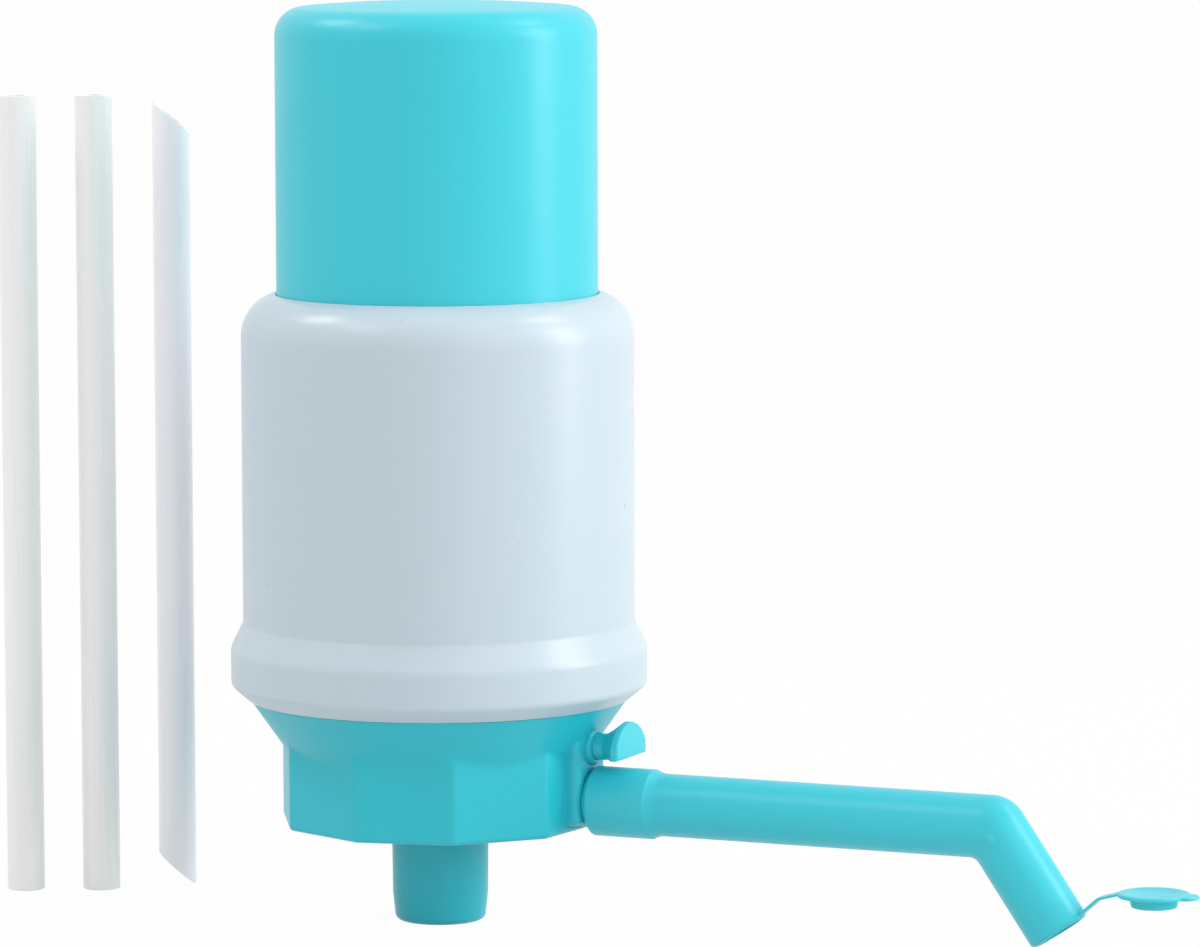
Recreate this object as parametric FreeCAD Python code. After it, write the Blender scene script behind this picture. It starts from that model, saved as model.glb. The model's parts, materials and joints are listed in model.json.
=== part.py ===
import FreeCAD, Part
import math
import os

# Water jug hand pump.
#
# Millimetres. The origin is the centre of the collar's mouth, on the axis of the pump, +Z points up
# and +X points along the spout. Every piece is a solid of its own, written to parts/NODE.step.
# The base is one moulding, stored as base_adaptor, neck_collar, nozzle_hub and spout_stub, and the
# spout is one moulding, stored as spout_tube and spout_elbow.

Vector = FreeCAD.Vector
X_AXIS = Vector(1, 0, 0)
Y_AXIS = Vector(0, 1, 0)
Z_AXIS = Vector(0, 0, 1)
ORIGIN = Vector(0, 0, 0)

# ---------------------------------------------------------------------------------------------
# Fits and clearances
# ---------------------------------------------------------------------------------------------
seat_gap = 0.05            # between two faces that rest on each other in one assembly
running_gap = 0.08         # radial, between a shaft and the hole that it slides or turns in
seal_gap = 0.05            # radial, between a ring seal and the wall that it seals on
free_gap = 0.3             # between pieces that move past each other
cap_gap = 0.4              # radial, between the cap and the collar of the housing

# ---------------------------------------------------------------------------------------------
# Neck of the jug and the collar that takes it
# ---------------------------------------------------------------------------------------------
neck_bore_r = 28.0         # takes the 55 mm neck of a 19 litre jug
neck_depth = 9.6           # how far the neck goes in, to the deck
neck_lead = 0.8            # chamfer at the mouth of the collar
collar_sides = 10
collar_wall = 4.336        # at the middle of a flat, where it is thinnest
collar_turn = -6.3         # degrees from the spout to the middle of the nearest flat
collar_edge_round = 2.2    # upright edges of the collar
collar_foot_round = 1.0    # bottom edge of the collar
deck_t = 2.0

# ---------------------------------------------------------------------------------------------
# Base adaptor: cone, skirt, hub, water channel, spout block
# ---------------------------------------------------------------------------------------------
base_wall = 1.8
cone_rise = 16.2           # from the underside of the deck to the top edge of the cone
cone_edge_out = 0.7        # how far that edge stands out from the skirt
cone_slope = 0.70          # millimetres of radius for each millimetre of height
cone_wall = 1.46           # measured level
plenum_out = 2.0           # air space above the deck, how much wider than the neck bore
skirt_over = 1.5           # skirt above the catch for the clamp ring
ledge_rise = 7.2           # the valve plate stands on this ledge, above the edge of the cone
ledge_w = 2.4
ledge_t = 2.0
bead_out = 0.9             # snap bead, how far it stands out from the skirt
bead_h = 1.6
catch_in = 0.5             # bead inside the skirt that holds the clamp ring down
hub_r = 10.2               # round hub that carries the suction nozzle
hub_bottom_z = 3.0
hub_top_r = 8.0
chamber_r = 4.0            # water space in the hub
channel_w = 6.4
channel_h = 3.2
channel_floor = 1.0
channel_wall = 1.0
air_hole_r = 2.0
air_hole_ring_r = 13.6
air_hole_count = 4
block_half_w = 7.0         # block that brings the water down to the spout
block_out = 1.0            # its face, beyond the collar's corners
block_bottom_z = 1.5
block_round = 0.9
riser_wall = 1.6

# ---------------------------------------------------------------------------------------------
# Spout: a sleeve that turns on the base's stub, a tube, a bend and a mouth
# ---------------------------------------------------------------------------------------------
spout_axis_z = 6.4
spout_r = 6.5
spout_wall = 1.4
spout_reach = 123.9        # X where the axes of the two legs meet
spout_bend_deg = 55.3      # how far the mouth leg turns down
spout_bend_r = 7.5
mouth_leg = 25.2           # from that meeting point to the mouth
elbow_lead = 1.5           # from the parting between the two spout pieces to the bend
mouth_round = 1.0
sleeve_r = 7.25
sleeve_end_out = 14.0      # from the face of the block
sleeve_taper = 2.0
sleeve_chamfer = 1.2
stub_r = 5.7
stub_bore_r = 4.0
stub_length = 14.4         # from the face of the block
stub_bead_out = 0.5
stub_bead_w = 1.0
spout_seal_out = 6.5       # from the face of the block
spout_seal_section_r = 0.45

# ---------------------------------------------------------------------------------------------
# Lid on its strap
# ---------------------------------------------------------------------------------------------
lid_arm = 11.32            # from the fold of the strap to the middle of the plug
fold_setback = 1.19        # how far the fold lies behind the plane of the mouth
lid_r = 7.4
lid_t = 0.8
plug_top_r = 5.0
plug_end_r = 4.7
plug_h = 2.1
plug_wall = 0.9
tab_reach = 9.4            # finger tab, from the middle of the plug
tab_w = 6.0
strap_w = 4.0
strap_t = 0.5
strap_fold_gap = 0.15
strap_root_setback = 0.5   # root of the strap behind the plane of the mouth

# ---------------------------------------------------------------------------------------------
# Vent button: D-shaped thumb pad on a hollow stem
# ---------------------------------------------------------------------------------------------
vent_axis_rise = 3.0       # above the rib over the water channel
vent_stroke = 2.0
vent_stem_r = 2.75
vent_stem_bore_r = 2.1
vent_rod_r = 1.1
vent_guide_wall = 1.15
vent_guide_out = 1.2       # outer end of the guide, from the face of the block
vent_guide_in = 4.5        # floor of the guide's pocket, behind the face of the block
vent_seat_in = 7.5         # face that the rubber disc seals on, behind the face of the block
vent_hole_r = 1.7
pad_face_out = 9.0         # from the face of the block
pad_t = 1.6
pad_drop = 1.8             # bottom of the pad below the axis of the stem
pad_h = 7.3
pad_half_w = 7.6
pad_side_h = 3.0           # height of the pad's sides
flare_gap = 0.1            # between the flare and the guide when the button is pressed
flare_steps = 5            # sections from the round stem to the pad's outline
vent_seal_r = 2.5
vent_seal_t = 1.2
vent_clip_r = 2.1
vent_clip_t = 0.9
vent_spring_wire_r = 0.2
vent_spring_turns = 7

# ---------------------------------------------------------------------------------------------
# Housing
# ---------------------------------------------------------------------------------------------
housing_wall = 1.8
barrel_h = 68.8            # from the flange to the top
shoulder_w = 7.05          # from the cap's opening out to the wall
shoulder_drop = 1.95       # from the top down to the corner of the shoulder
shoulder_round = 9.2
collar_guide_t = 1.9       # guide collar round the cap
collar_guide_h = 4.2       # from the top down to the end of that collar
flange_out = 2.6           # beyond the wall of the barrel
flange_rise = 11.4         # from the cone's edge up to the flange's edge
flange_slope_h = 5.4       # from the flange's edge up to the barrel
flange_edge_round = 3.5
flange_foot_round = 3.1
flange_foot_rise = 0.6
flange_root_round = 0.8
lip_t = 3.5                # lip under the snap bead
lip_w = 4.7                # from the flange's edge in to the skirt's side

# ---------------------------------------------------------------------------------------------
# Cap, its travel, the bellows and the springs
# ---------------------------------------------------------------------------------------------
cap_r = 33.55
cap_wall = 1.8
cap_crown_r = 350.0
cap_round = 6.0
cap_stroke = 50.0
cap_over = 10.6            # part of the cap that still stands out when it is pressed
cap_stop_w = 2.05          # shoulder that stops the cap under the collar
cap_guide_h = 1.6          # guide ring at the foot of the cap
cap_guide_slope_h = 3.5
bellows_wall = 0.9
bellows_crest_gap = 1.15   # radial, between the folds and the cap
bellows_fold_w = 6.1
bellows_folds = 9
bellows_cuff_h = 3.1
bellows_flange_w = 4.9
head_disc_gap = 0.55       # radial, between the disc and the cap
head_disc_t = 1.8
head_disc_drop = 6.8       # from the underside of the cap's top down to the disc
head_spigot_h = 4.8
head_spigot_wall = 1.8
head_ring_in = 3.6         # standing ring, in from the edge of the disc
head_ring_wall = 1.6
head_notch_w = 8.0
head_clip_t = 1.65
head_clip_h = 3.0
plate_t = 2.0
spring_seat_r = 11.6       # rings that centre the spring on the plate and in the head
spring_seat_wall = 1.3
spring_seat_h = 2.2
clamp_h = 2.0
plate_seal_section_r = 0.6
spring_coil_r = 13.5
spring_wire_r = 0.9
spring_turns = 11

# ---------------------------------------------------------------------------------------------
# Umbrella valves
# ---------------------------------------------------------------------------------------------
valve_disc_r = 7.5
valve_disc_t = 1.0
valve_lift = 0.8
valve_stem_r = 1.2
valve_bulb_r = 1.9
valve_bulb_h = 1.6
valve_port_r = 1.2
valve_port_ring_r = 4.6
valve_port_count = 6

# ---------------------------------------------------------------------------------------------
# Suction nozzle, gasket and suction tubes
# ---------------------------------------------------------------------------------------------
nozzle_waist_r = 10.0
nozzle_waist_z = -15.0
nozzle_foot_r = 9.4
nozzle_foot_round = 1.4
nozzle_length = 23.85      # from the hub down to its end
nozzle_spigot_r = 6.5
nozzle_bore_r = 3.0
tube_socket_depth = 18.0
tube_socket_lead = 0.4
nozzle_seal_section_r = 0.6
nozzle_seal_rise = 3.4     # middle of the seal above the nozzle's shoulder
gasket_r_in = 17.0
gasket_gap = 0.2           # radial, to the neck bore
gasket_t = 1.5
tube_r = 4.0
tube_wall = 1.0
tube_length = 171.5
tube_pitch = 16.3
tube_row_x = -98.5
tube_row_y = -0.7
tube_row_turn = 25.0       # degrees from +X to the row of tubes
bevel_deg = 41.0
bevel_tube_length = 170.0  # from tip to tip
bevel_tube_setback = 4.5

# ---------------------------------------------------------------------------------------------
# Sizes that follow from the ones above
# ---------------------------------------------------------------------------------------------
collar_corner_r = (neck_bore_r + collar_wall) / math.cos(math.pi / collar_sides)
deck_top_z = neck_depth + deck_t
channel_bottom_z = neck_depth + channel_floor
channel_top_z = channel_bottom_z + channel_h
rib_top_z = channel_top_z + channel_wall
block_face_x = collar_corner_r + block_out
riser_out_x = block_face_x - riser_wall
riser_in_x = riser_out_x - channel_h
cap_in_r = cap_r - cap_wall
opening_r = cap_r + cap_gap
guide_r = opening_r + collar_guide_t
housing_r = opening_r + shoulder_w
housing_bore_r = housing_r - housing_wall
flange_r = housing_r + flange_out
cavity_r = flange_r - housing_wall
lip_r = flange_r - lip_w
skirt_r = lip_r - free_gap
skirt_in_r = skirt_r - base_wall
cone_top_r = skirt_r + cone_edge_out
cone_top_z = neck_depth + cone_rise
plenum_r = neck_bore_r + plenum_out
plenum_wall_z = cone_top_z - (cone_top_r - cone_wall - plenum_r) / cone_slope
lip_z = cone_top_z + seat_gap
lip_top_z = lip_z + lip_t
flange_edge_z = cone_top_z + flange_rise
flange_top_z = flange_edge_z + flange_slope_h
housing_top_z = flange_top_z + barrel_h
shoulder_z = housing_top_z - shoulder_drop
shoulder_slope = shoulder_drop / shoulder_w
inner_shoulder_z = shoulder_z - housing_wall * (math.hypot(1, shoulder_slope) - shoulder_slope)
collar_guide_z = housing_top_z - collar_guide_h
cap_stop_z = collar_guide_z - free_gap
cap_top_z = housing_top_z + cap_stroke + cap_over
ledge_z = cone_top_z + ledge_rise
plate_z = ledge_z + seat_gap
plate_top_z = plate_z + plate_t
plate_r = skirt_in_r - seal_gap
bellows_foot_z = plate_top_z + seat_gap
clamp_z = bellows_foot_z + bellows_wall + seat_gap
catch_z = clamp_z + clamp_h + seat_gap
skirt_top_z = catch_z + skirt_over
head_z = cap_top_z - cap_wall - head_disc_drop
head_disc_r = cap_in_r - head_disc_gap
head_ring_r = head_disc_r - head_ring_in
bellows_top_z = head_z - seat_gap
bellows_cuff_r = head_disc_r - head_clip_t - seat_gap
bellows_crest_r = cap_in_r - bellows_crest_gap
bellows_root_r = bellows_crest_r - bellows_fold_w
bellows_flange_r = bellows_cuff_r + bellows_flange_w
sleeve_start_x = block_face_x + free_gap
sleeve_end_x = block_face_x + sleeve_end_out
stub_end_x = block_face_x + stub_length
spout_seal_x = block_face_x + spout_seal_out
socket_r = stub_r + running_gap
socket_end_x = stub_end_x + free_gap
spout_bore_r = spout_r - spout_wall
vent_axis_z = rib_top_z + vent_axis_rise
vent_guide_x = block_face_x + vent_guide_out
vent_guide_floor_x = block_face_x - vent_guide_in
vent_seat_x = block_face_x - vent_seat_in
pad_face_x = block_face_x + pad_face_out
pad_bottom_z = vent_axis_z - pad_drop
flare_start_x = vent_guide_x + vent_stroke + flare_gap
vent_bore_end_x = (flare_start_x + pad_face_x) / 2
nozzle_top_z = hub_bottom_z - seat_gap
nozzle_bottom_z = nozzle_top_z - nozzle_length
spigot_bore_r = nozzle_spigot_r + running_gap
tube_socket_r = tube_r + seal_gap
mouth_down = math.radians(spout_bend_deg)
mouth_axis = Vector(math.cos(mouth_down), 0, -math.sin(mouth_down))
mouth_across = Vector(math.sin(mouth_down), 0, math.cos(mouth_down))
elbow_start_x = spout_reach - spout_bend_r * math.tan(mouth_down / 2) - elbow_lead
elbow_point = Vector(spout_reach, 0, spout_axis_z)
mouth_point = elbow_point + mouth_axis * mouth_leg
fold_point = mouth_point + mouth_across * lid_arm - mouth_axis * fold_setback
lid_x = fold_point.x + lid_arm
lid_under_z = fold_point.z + fold_setback + seat_gap


# ---------------------------------------------------------------------------------------------
# Helpers
# ---------------------------------------------------------------------------------------------
def rounded_outline(corners, place):
    """A closed wire of straight lines, with an arc at each corner that gives a radius."""
    points = []
    for index, corner in enumerate(corners):
        here = place(corner[0], corner[1])
        radius = corner[2] if len(corner) > 2 else 0.0
        if radius <= 0:
            points.append((here, None, here))
            continue
        before = corners[index - 1]
        after = corners[(index + 1) % len(corners)]
        back = (place(before[0], before[1]) - here).normalize()
        ahead = (place(after[0], after[1]) - here).normalize()
        half = back.getAngle(ahead) / 2
        inward = (back + ahead).normalize()
        reach = radius / math.tan(half)
        middle = here + inward * (radius / math.sin(half) - radius)
        points.append((here + back * reach, middle, here + ahead * reach))
    edges = []
    for index, (start, middle, end) in enumerate(points):
        if middle is not None:
            edges.append(Part.Arc(start, middle, end).toShape())
        next_start = points[(index + 1) % len(points)][0]
        if (next_start - end).Length > 1e-6:
            edges.append(Part.LineSegment(end, next_start).toShape())
    return Part.Wire(edges)


def outward(solid):
    """The same solid with its faces turned outwards."""
    if solid.Volume < 0:
        solid.reverse()
    return solid


def lathe(corners):
    """A solid of revolution about Z from corners (radius, height[, round])."""
    wire = rounded_outline(corners, lambda radius, height: Vector(radius, 0, height))
    return outward(Part.Face(wire).revolve(ORIGIN, Z_AXIS, 360))


def ring(inner_r, outer_r, bottom_z, top_z):
    """A plain ring with square corners."""
    return lathe([(inner_r, bottom_z), (outer_r, bottom_z), (outer_r, top_z), (inner_r, top_z)])


def disc(radius, bottom_z, top_z):
    """A plain round disc on the Z axis."""
    return Part.makeCylinder(radius, top_z - bottom_z, Vector(0, 0, bottom_z))


def rod(radius, start, end):
    """A cylinder from one point to another."""
    return Part.makeCylinder(radius, (end - start).Length, start, end - start)


def box(low, high):
    """A box between its lowest and its highest corner."""
    size = high - low
    return Part.makeBox(size.x, size.y, size.z, low)


def prism(corners, place, sweep):
    """A straight extrusion of a closed outline."""
    return outward(Part.Face(rounded_outline(corners, place)).extrude(sweep))


def laid(shape, start, direction):
    """The shape with its own Z axis laid along a direction and its origin at start."""
    moved = shape.copy()
    moved.Placement = FreeCAD.Placement(start, FreeCAD.Rotation(Z_AXIS, direction)).multiply(shape.Placement)
    return moved


def side_view(x, z):
    """A point of an outline drawn in the plane of the spout."""
    return Vector(x, 0, z)


def coil(coil_r, wire_r, length, turns):
    """A round wire coiled about Z from 0 to length, inside those two planes."""
    rise = length - 2 * wire_r
    path = Part.makeHelix(rise / turns, rise, coil_r)
    section = Part.Wire(Part.makeCircle(wire_r, Vector(coil_r, 0, 0), Y_AXIS))
    spring = path.makePipeShell([section], True, True)
    spring.translate(Vector(0, 0, wire_r))
    return spring


def around(shape, count, start_deg=0.0):
    """Copies of a shape, evenly spaced about the Z axis."""
    copies = []
    for index in range(count):
        copy = shape.copy()
        copy.rotate(ORIGIN, Z_AXIS, start_deg + index * 360.0 / count)
        copies.append(copy)
    return copies


def save(node, shape):
    """Write one piece."""
    if not shape.isValid():
        raise ValueError(node + " is not a valid solid")
    shape.exportStep("parts/" + node + ".step")


# ---------------------------------------------------------------------------------------------
# Base adaptor
# ---------------------------------------------------------------------------------------------
def collar_prism():
    """The ten-sided collar, up to where the cone swallows its corners."""
    corners = []
    for index in range(collar_sides):
        angle = math.radians(collar_turn + (index + 0.5) * 360.0 / collar_sides)
        corners.append((collar_corner_r * math.cos(angle), collar_corner_r * math.sin(angle), collar_edge_round))
    top_z = cone_top_z - (cone_top_r - collar_corner_r) / cone_slope + seat_gap
    solid = prism(corners, lambda x, y: Vector(x, y, 0), Vector(0, 0, top_z))
    foot_edges = [edge for edge in solid.Edges if edge.BoundBox.ZMax < 1e-6]
    return solid.makeFillet(collar_foot_round, foot_edges)


def base_cone():
    """The cone and the skirt that snaps into the housing, solid inside."""
    cone_foot_z = neck_depth
    cone_foot_r = cone_top_r - cone_slope * (cone_top_z - cone_foot_z)
    bead_z = lip_top_z + free_gap
    return lathe([
        (0, cone_foot_z),
        (cone_foot_r, cone_foot_z),
        (cone_top_r, cone_top_z, 0.15),
        (skirt_r, cone_top_z),
        (skirt_r, bead_z),
        (skirt_r + bead_out, bead_z),
        (skirt_r, bead_z + bead_h),
        (skirt_r, skirt_top_z),
        (0, skirt_top_z),
    ])


def base_plenum():
    """The air space inside the cone and the skirt."""
    ledge_r = skirt_in_r - ledge_w
    widen_z = plenum_wall_z + (skirt_in_r - plenum_r) / cone_slope
    return lathe([
        (0, deck_top_z),
        (plenum_r, deck_top_z),
        (plenum_r, plenum_wall_z),
        (skirt_in_r, widen_z),
        (skirt_in_r, ledge_z - ledge_t - ledge_w),
        (ledge_r, ledge_z - ledge_t),
        (ledge_r, ledge_z),
        (skirt_in_r, ledge_z),
        (skirt_in_r, catch_z),
        (skirt_in_r - catch_in, catch_z + catch_in),
        (skirt_in_r, skirt_top_z),
        (skirt_in_r, skirt_top_z + 1),
        (0, skirt_top_z + 1),
    ])


def spout_block():
    """The block at the side of the collar, with the riser inside, solid here."""
    low = Vector(riser_in_x - riser_wall, -block_half_w, block_bottom_z)
    high = Vector(block_face_x, block_half_w, cone_top_z - (cone_top_r - block_face_x) / cone_slope + block_round)
    solid = box(low, high)
    rounded = [edge for edge in solid.Edges if edge.BoundBox.XMin > block_face_x - 1e-6
               and edge.BoundBox.ZMax < high.z - 1e-6]
    rounded += [edge for edge in solid.Edges if edge.BoundBox.XMin > block_face_x - 1e-6
                and edge.BoundBox.ZLength > 1]
    return solid.makeFillet(block_round, rounded)


def stub():
    """The round stub that the spout turns on, with its bead and seal groove."""
    seal_half = spout_seal_section_r + seal_gap
    groove_r = socket_r - 2 * (spout_seal_section_r + seal_gap)
    start = block_face_x - riser_wall
    profile = [
        (0, start),
        (stub_r, start),
        (stub_r, spout_seal_x - seal_half),
        (groove_r, spout_seal_x - seal_half),
        (groove_r, spout_seal_x + seal_half),
        (stub_r, spout_seal_x + seal_half),
        (stub_r, stub_end_x - stub_bead_w - stub_bead_out),
        (stub_r + stub_bead_out, stub_end_x - stub_bead_w),
        (stub_r + stub_bead_out, stub_end_x - stub_bead_out),
        (stub_r, stub_end_x),
        (0, stub_end_x),
    ]
    return laid(lathe(profile), Vector(0, 0, spout_axis_z), X_AXIS)


def outlet():
    """The round water way from the riser through the stub."""
    return rod(stub_bore_r, Vector(riser_in_x + channel_h / 2, 0, spout_axis_z),
               Vector(stub_end_x + 1, 0, spout_axis_z))


def vent_line(x):
    """A point on the axis of the vent button."""
    return Vector(x, 0, vent_axis_z)


def base_moulding():
    """The moulded base without its stub: collar, cone, skirt, hub, water channel and vent guide."""
    body = collar_prism().fuse([base_cone()])
    body = body.cut(base_plenum())
    body = body.cut(disc(neck_bore_r, -1, neck_depth))
    lead = Part.makeCone(neck_bore_r + neck_lead, neck_bore_r, neck_lead)
    body = body.cut(lead)
    hub = disc(hub_r, hub_bottom_z, neck_depth)
    hub_top = disc(hub_top_r, neck_depth, rib_top_z)
    rib_half = channel_w / 2 + channel_wall
    rib = box(Vector(0, -rib_half, neck_depth), Vector(riser_out_x, rib_half, rib_top_z))
    guide_r_out = vent_stem_r + running_gap + vent_guide_wall
    guide = rod(guide_r_out, vent_line(vent_seat_x), vent_line(vent_guide_x))
    body = body.fuse([hub, hub_top, rib, spout_block(), guide]).removeSplitter()
    spigot_bore = disc(spigot_bore_r, hub_bottom_z - 1, channel_bottom_z)
    chamber = disc(chamber_r, channel_bottom_z - 1, channel_top_z)
    channel = box(Vector(0, -channel_w / 2, channel_bottom_z), Vector(riser_out_x, channel_w / 2, channel_top_z))
    riser = box(Vector(riser_in_x, -channel_w / 2, spout_axis_z - stub_bore_r),
                Vector(riser_out_x, channel_w / 2, channel_top_z))
    pocket = rod(vent_stem_r + running_gap, vent_line(vent_guide_floor_x), vent_line(pad_face_x))
    vent_hole = rod(vent_hole_r, vent_line(vent_seat_x - 1), vent_line(vent_guide_floor_x + 1))
    hole = Part.makeCylinder(air_hole_r, deck_t + 2, Vector(air_hole_ring_r, 0, neck_depth - 1))
    holes = around(hole, air_hole_count, 180.0 / air_hole_count)
    body = body.cut(spigot_bore).cut(chamber).cut(channel).cut(riser).cut(outlet()).cut(pocket).cut(vent_hole)
    for air_hole in holes:
        body = body.cut(air_hole)
    return body


def base_adaptor(moulding):
    """The base from the deck upwards: deck, cone, skirt, water channel and vent guide."""
    return moulding.cut(disc(cone_top_r, -1, neck_depth)).Solids[0]


def below_deck(moulding):
    """What the moulding holds below the deck: the collar with the block, and the hub."""
    return moulding.common(disc(cone_top_r, -1, neck_depth - seat_gap))


def neck_collar(moulding):
    """The ten-sided collar and the foot of the block."""
    return below_deck(moulding).cut(disc(neck_bore_r - seat_gap, -1, neck_depth)).Solids[0]


def nozzle_hub(moulding):
    """The round hub that the nozzle's spigot goes into."""
    return below_deck(moulding).common(disc(neck_bore_r - seat_gap, -1, neck_depth)).Solids[0]


def spout_stub():
    """The round stub that the spout turns on."""
    outside = box(Vector(block_face_x + seat_gap, -sleeve_r, spout_axis_z - sleeve_r),
                  Vector(stub_end_x, sleeve_r, spout_axis_z + sleeve_r))
    return stub().common(outside).cut(outlet()).Solids[0]


# ---------------------------------------------------------------------------------------------
# Pieces that hang on the base
# ---------------------------------------------------------------------------------------------
def suction_nozzle():
    """The stub under the base, with a socket for a suction tube."""
    seal_z = nozzle_top_z + nozzle_seal_rise
    seal_half = nozzle_seal_section_r + seal_gap
    groove_r = spigot_bore_r - 2 * (nozzle_seal_section_r + seal_gap)
    socket_top_z = nozzle_bottom_z + tube_socket_depth
    spigot_top_z = neck_depth + channel_floor / 2
    return lathe([
        (tube_socket_r + tube_socket_lead, nozzle_bottom_z),
        (nozzle_foot_r, nozzle_bottom_z, nozzle_foot_round),
        (nozzle_waist_r, nozzle_waist_z),
        (hub_r, nozzle_top_z),
        (nozzle_spigot_r, nozzle_top_z),
        (nozzle_spigot_r, seal_z - seal_half),
        (groove_r, seal_z - seal_half),
        (groove_r, seal_z + seal_half),
        (nozzle_spigot_r, seal_z + seal_half),
        (nozzle_spigot_r, spigot_top_z),
        (nozzle_bore_r, spigot_top_z),
        (nozzle_bore_r, socket_top_z),
        (tube_socket_r, socket_top_z),
        (tube_socket_r, nozzle_bottom_z + tube_socket_lead),
    ])


def nozzle_o_ring():
    """Ring seal between the nozzle's spigot and the hub."""
    centre_r = spigot_bore_r - seal_gap - nozzle_seal_section_r
    return Part.makeTorus(centre_r, nozzle_seal_section_r, Vector(0, 0, nozzle_top_z + nozzle_seal_rise))


def neck_gasket():
    """Flat rubber ring that seals on the rim of the jug's neck."""
    top_z = neck_depth - seat_gap
    return ring(gasket_r_in, neck_bore_r - gasket_gap, top_z - gasket_t, top_z)


def spout_o_ring():
    """Ring seal between the stub and the spout's sleeve."""
    centre_r = socket_r - seal_gap - spout_seal_section_r
    return Part.makeTorus(centre_r, spout_seal_section_r, Vector(spout_seal_x, 0, spout_axis_z), X_AXIS)


# ---------------------------------------------------------------------------------------------
# Spout and lid
# ---------------------------------------------------------------------------------------------
def bent_tube(radius, start_x, end_round, overrun):
    """The spout's straight leg, bend and mouth leg as one solid bar of a given radius."""
    reach = spout_bend_r * math.tan(mouth_down / 2)
    bend_start = elbow_point - X_AXIS * reach
    bend_end = elbow_point + mouth_axis * reach
    straight = rod(radius, Vector(start_x, 0, spout_axis_z), bend_start)
    section = Part.Face(Part.Wire(Part.makeCircle(radius, bend_start, X_AXIS)))
    bend_centre = bend_start - Z_AXIS * spout_bend_r
    bend = outward(section.revolve(bend_centre, Y_AXIS, spout_bend_deg))
    leg_length = mouth_leg - reach + overrun
    leg = lathe([(0, 0), (radius, 0), (radius, leg_length, end_round), (0, leg_length)])
    return straight.fuse([bend, laid(leg, bend_end, mouth_axis)]).removeSplitter()


def spout_moulding():
    """The whole swivelling spout."""
    sleeve = laid(lathe([
        (0, sleeve_start_x),
        (sleeve_r - sleeve_chamfer, sleeve_start_x),
        (sleeve_r, sleeve_start_x + sleeve_chamfer),
        (sleeve_r, sleeve_end_x),
        (spout_r, sleeve_end_x + sleeve_taper),
        (0, sleeve_end_x + sleeve_taper),
    ]), Vector(0, 0, spout_axis_z), X_AXIS)
    outside = bent_tube(spout_r, sleeve_start_x + sleeve_chamfer, mouth_round, 0).fuse([sleeve])
    bead_start_x = stub_end_x - stub_bead_w - stub_bead_out - free_gap
    socket = laid(lathe([
        (0, sleeve_start_x - 1),
        (socket_r, sleeve_start_x - 1),
        (socket_r, bead_start_x),
        (socket_r + stub_bead_out, bead_start_x + stub_bead_out),
        (socket_r + stub_bead_out, socket_end_x),
        (0, socket_end_x),
    ]), Vector(0, 0, spout_axis_z), X_AXIS)
    bore = bent_tube(spout_bore_r, sleeve_start_x, 0, 1)
    return outside.removeSplitter().cut(bore).cut(socket)


def spout_tube(moulding):
    """The sleeve and the straight leg of the spout."""
    return moulding.cut(beyond(elbow_start_x)).Solids[0]


def spout_elbow(moulding):
    """The bend and the mouth leg of the spout."""
    return moulding.common(beyond(elbow_start_x + seat_gap)).Solids[0]


def beyond(x):
    """The space from x outwards that holds the far end of the spout."""
    return box(Vector(x, -2 * spout_r, mouth_point.z - 2 * spout_r),
               Vector(mouth_point.x + 2 * spout_r, 2 * spout_r, spout_axis_z + 2 * spout_r))


def strip(start, end, start_gap, end_gap):
    """A thin strip whose underside runs from one point to another."""
    along = (end - start).normalize()
    up = along.cross(Y_AXIS)
    first = start + along * start_gap
    last = end - along * end_gap
    corners = [first, last, last + up * strap_t, first + up * strap_t]
    outline = [(point.x, point.z) for point in corners]
    solid = prism(outline, side_view, Vector(0, strap_w, 0))
    solid.translate(Vector(0, -strap_w / 2, 0))
    return solid


def lid_strap():
    """The strap from the rim of the mouth to the fold."""
    root = mouth_point - mouth_axis * strap_root_setback + mouth_across * (spout_r - spout_wall / 2)
    strap = strip(root, fold_point, 0, strap_fold_gap)
    tube = rod(spout_r + seat_gap, elbow_point, mouth_point + mouth_axis)
    return strap.cut(tube).Solids[0]


def spout_lid():
    """The lid, open and level: plate, finger tab, hollow plug and its end of the strap."""
    plate = disc(lid_r, 0, lid_t)
    plate = plate.makeFillet(lid_t * 0.4, [edge for edge in plate.Edges if edge.BoundBox.ZMin > lid_t - 1e-6])
    half = tab_w / 2
    tab = prism([(0, -half), (tab_reach, -half, half * 0.9), (tab_reach, half, half * 0.9), (0, half)],
                lambda x, y: Vector(x, y, 0), Vector(0, 0, lid_t * 0.8))
    plug = lathe([
        (plug_end_r - plug_wall, -plug_h),
        (plug_end_r, -plug_h, 0.3),
        (plug_top_r, 0),
        (plug_top_r, lid_t / 2),
        (plug_end_r - plug_wall, lid_t / 2),
    ])
    lid = plate.fuse([tab, plug])
    lid.translate(Vector(lid_x, 0, lid_under_z))
    edge_point = Vector(lid_x - lid_r + strap_t, 0, lid_under_z)
    tail = strip(fold_point, edge_point, strap_fold_gap, -strap_t)
    return lid.fuse([tail]).removeSplitter().Solids[0]


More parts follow.
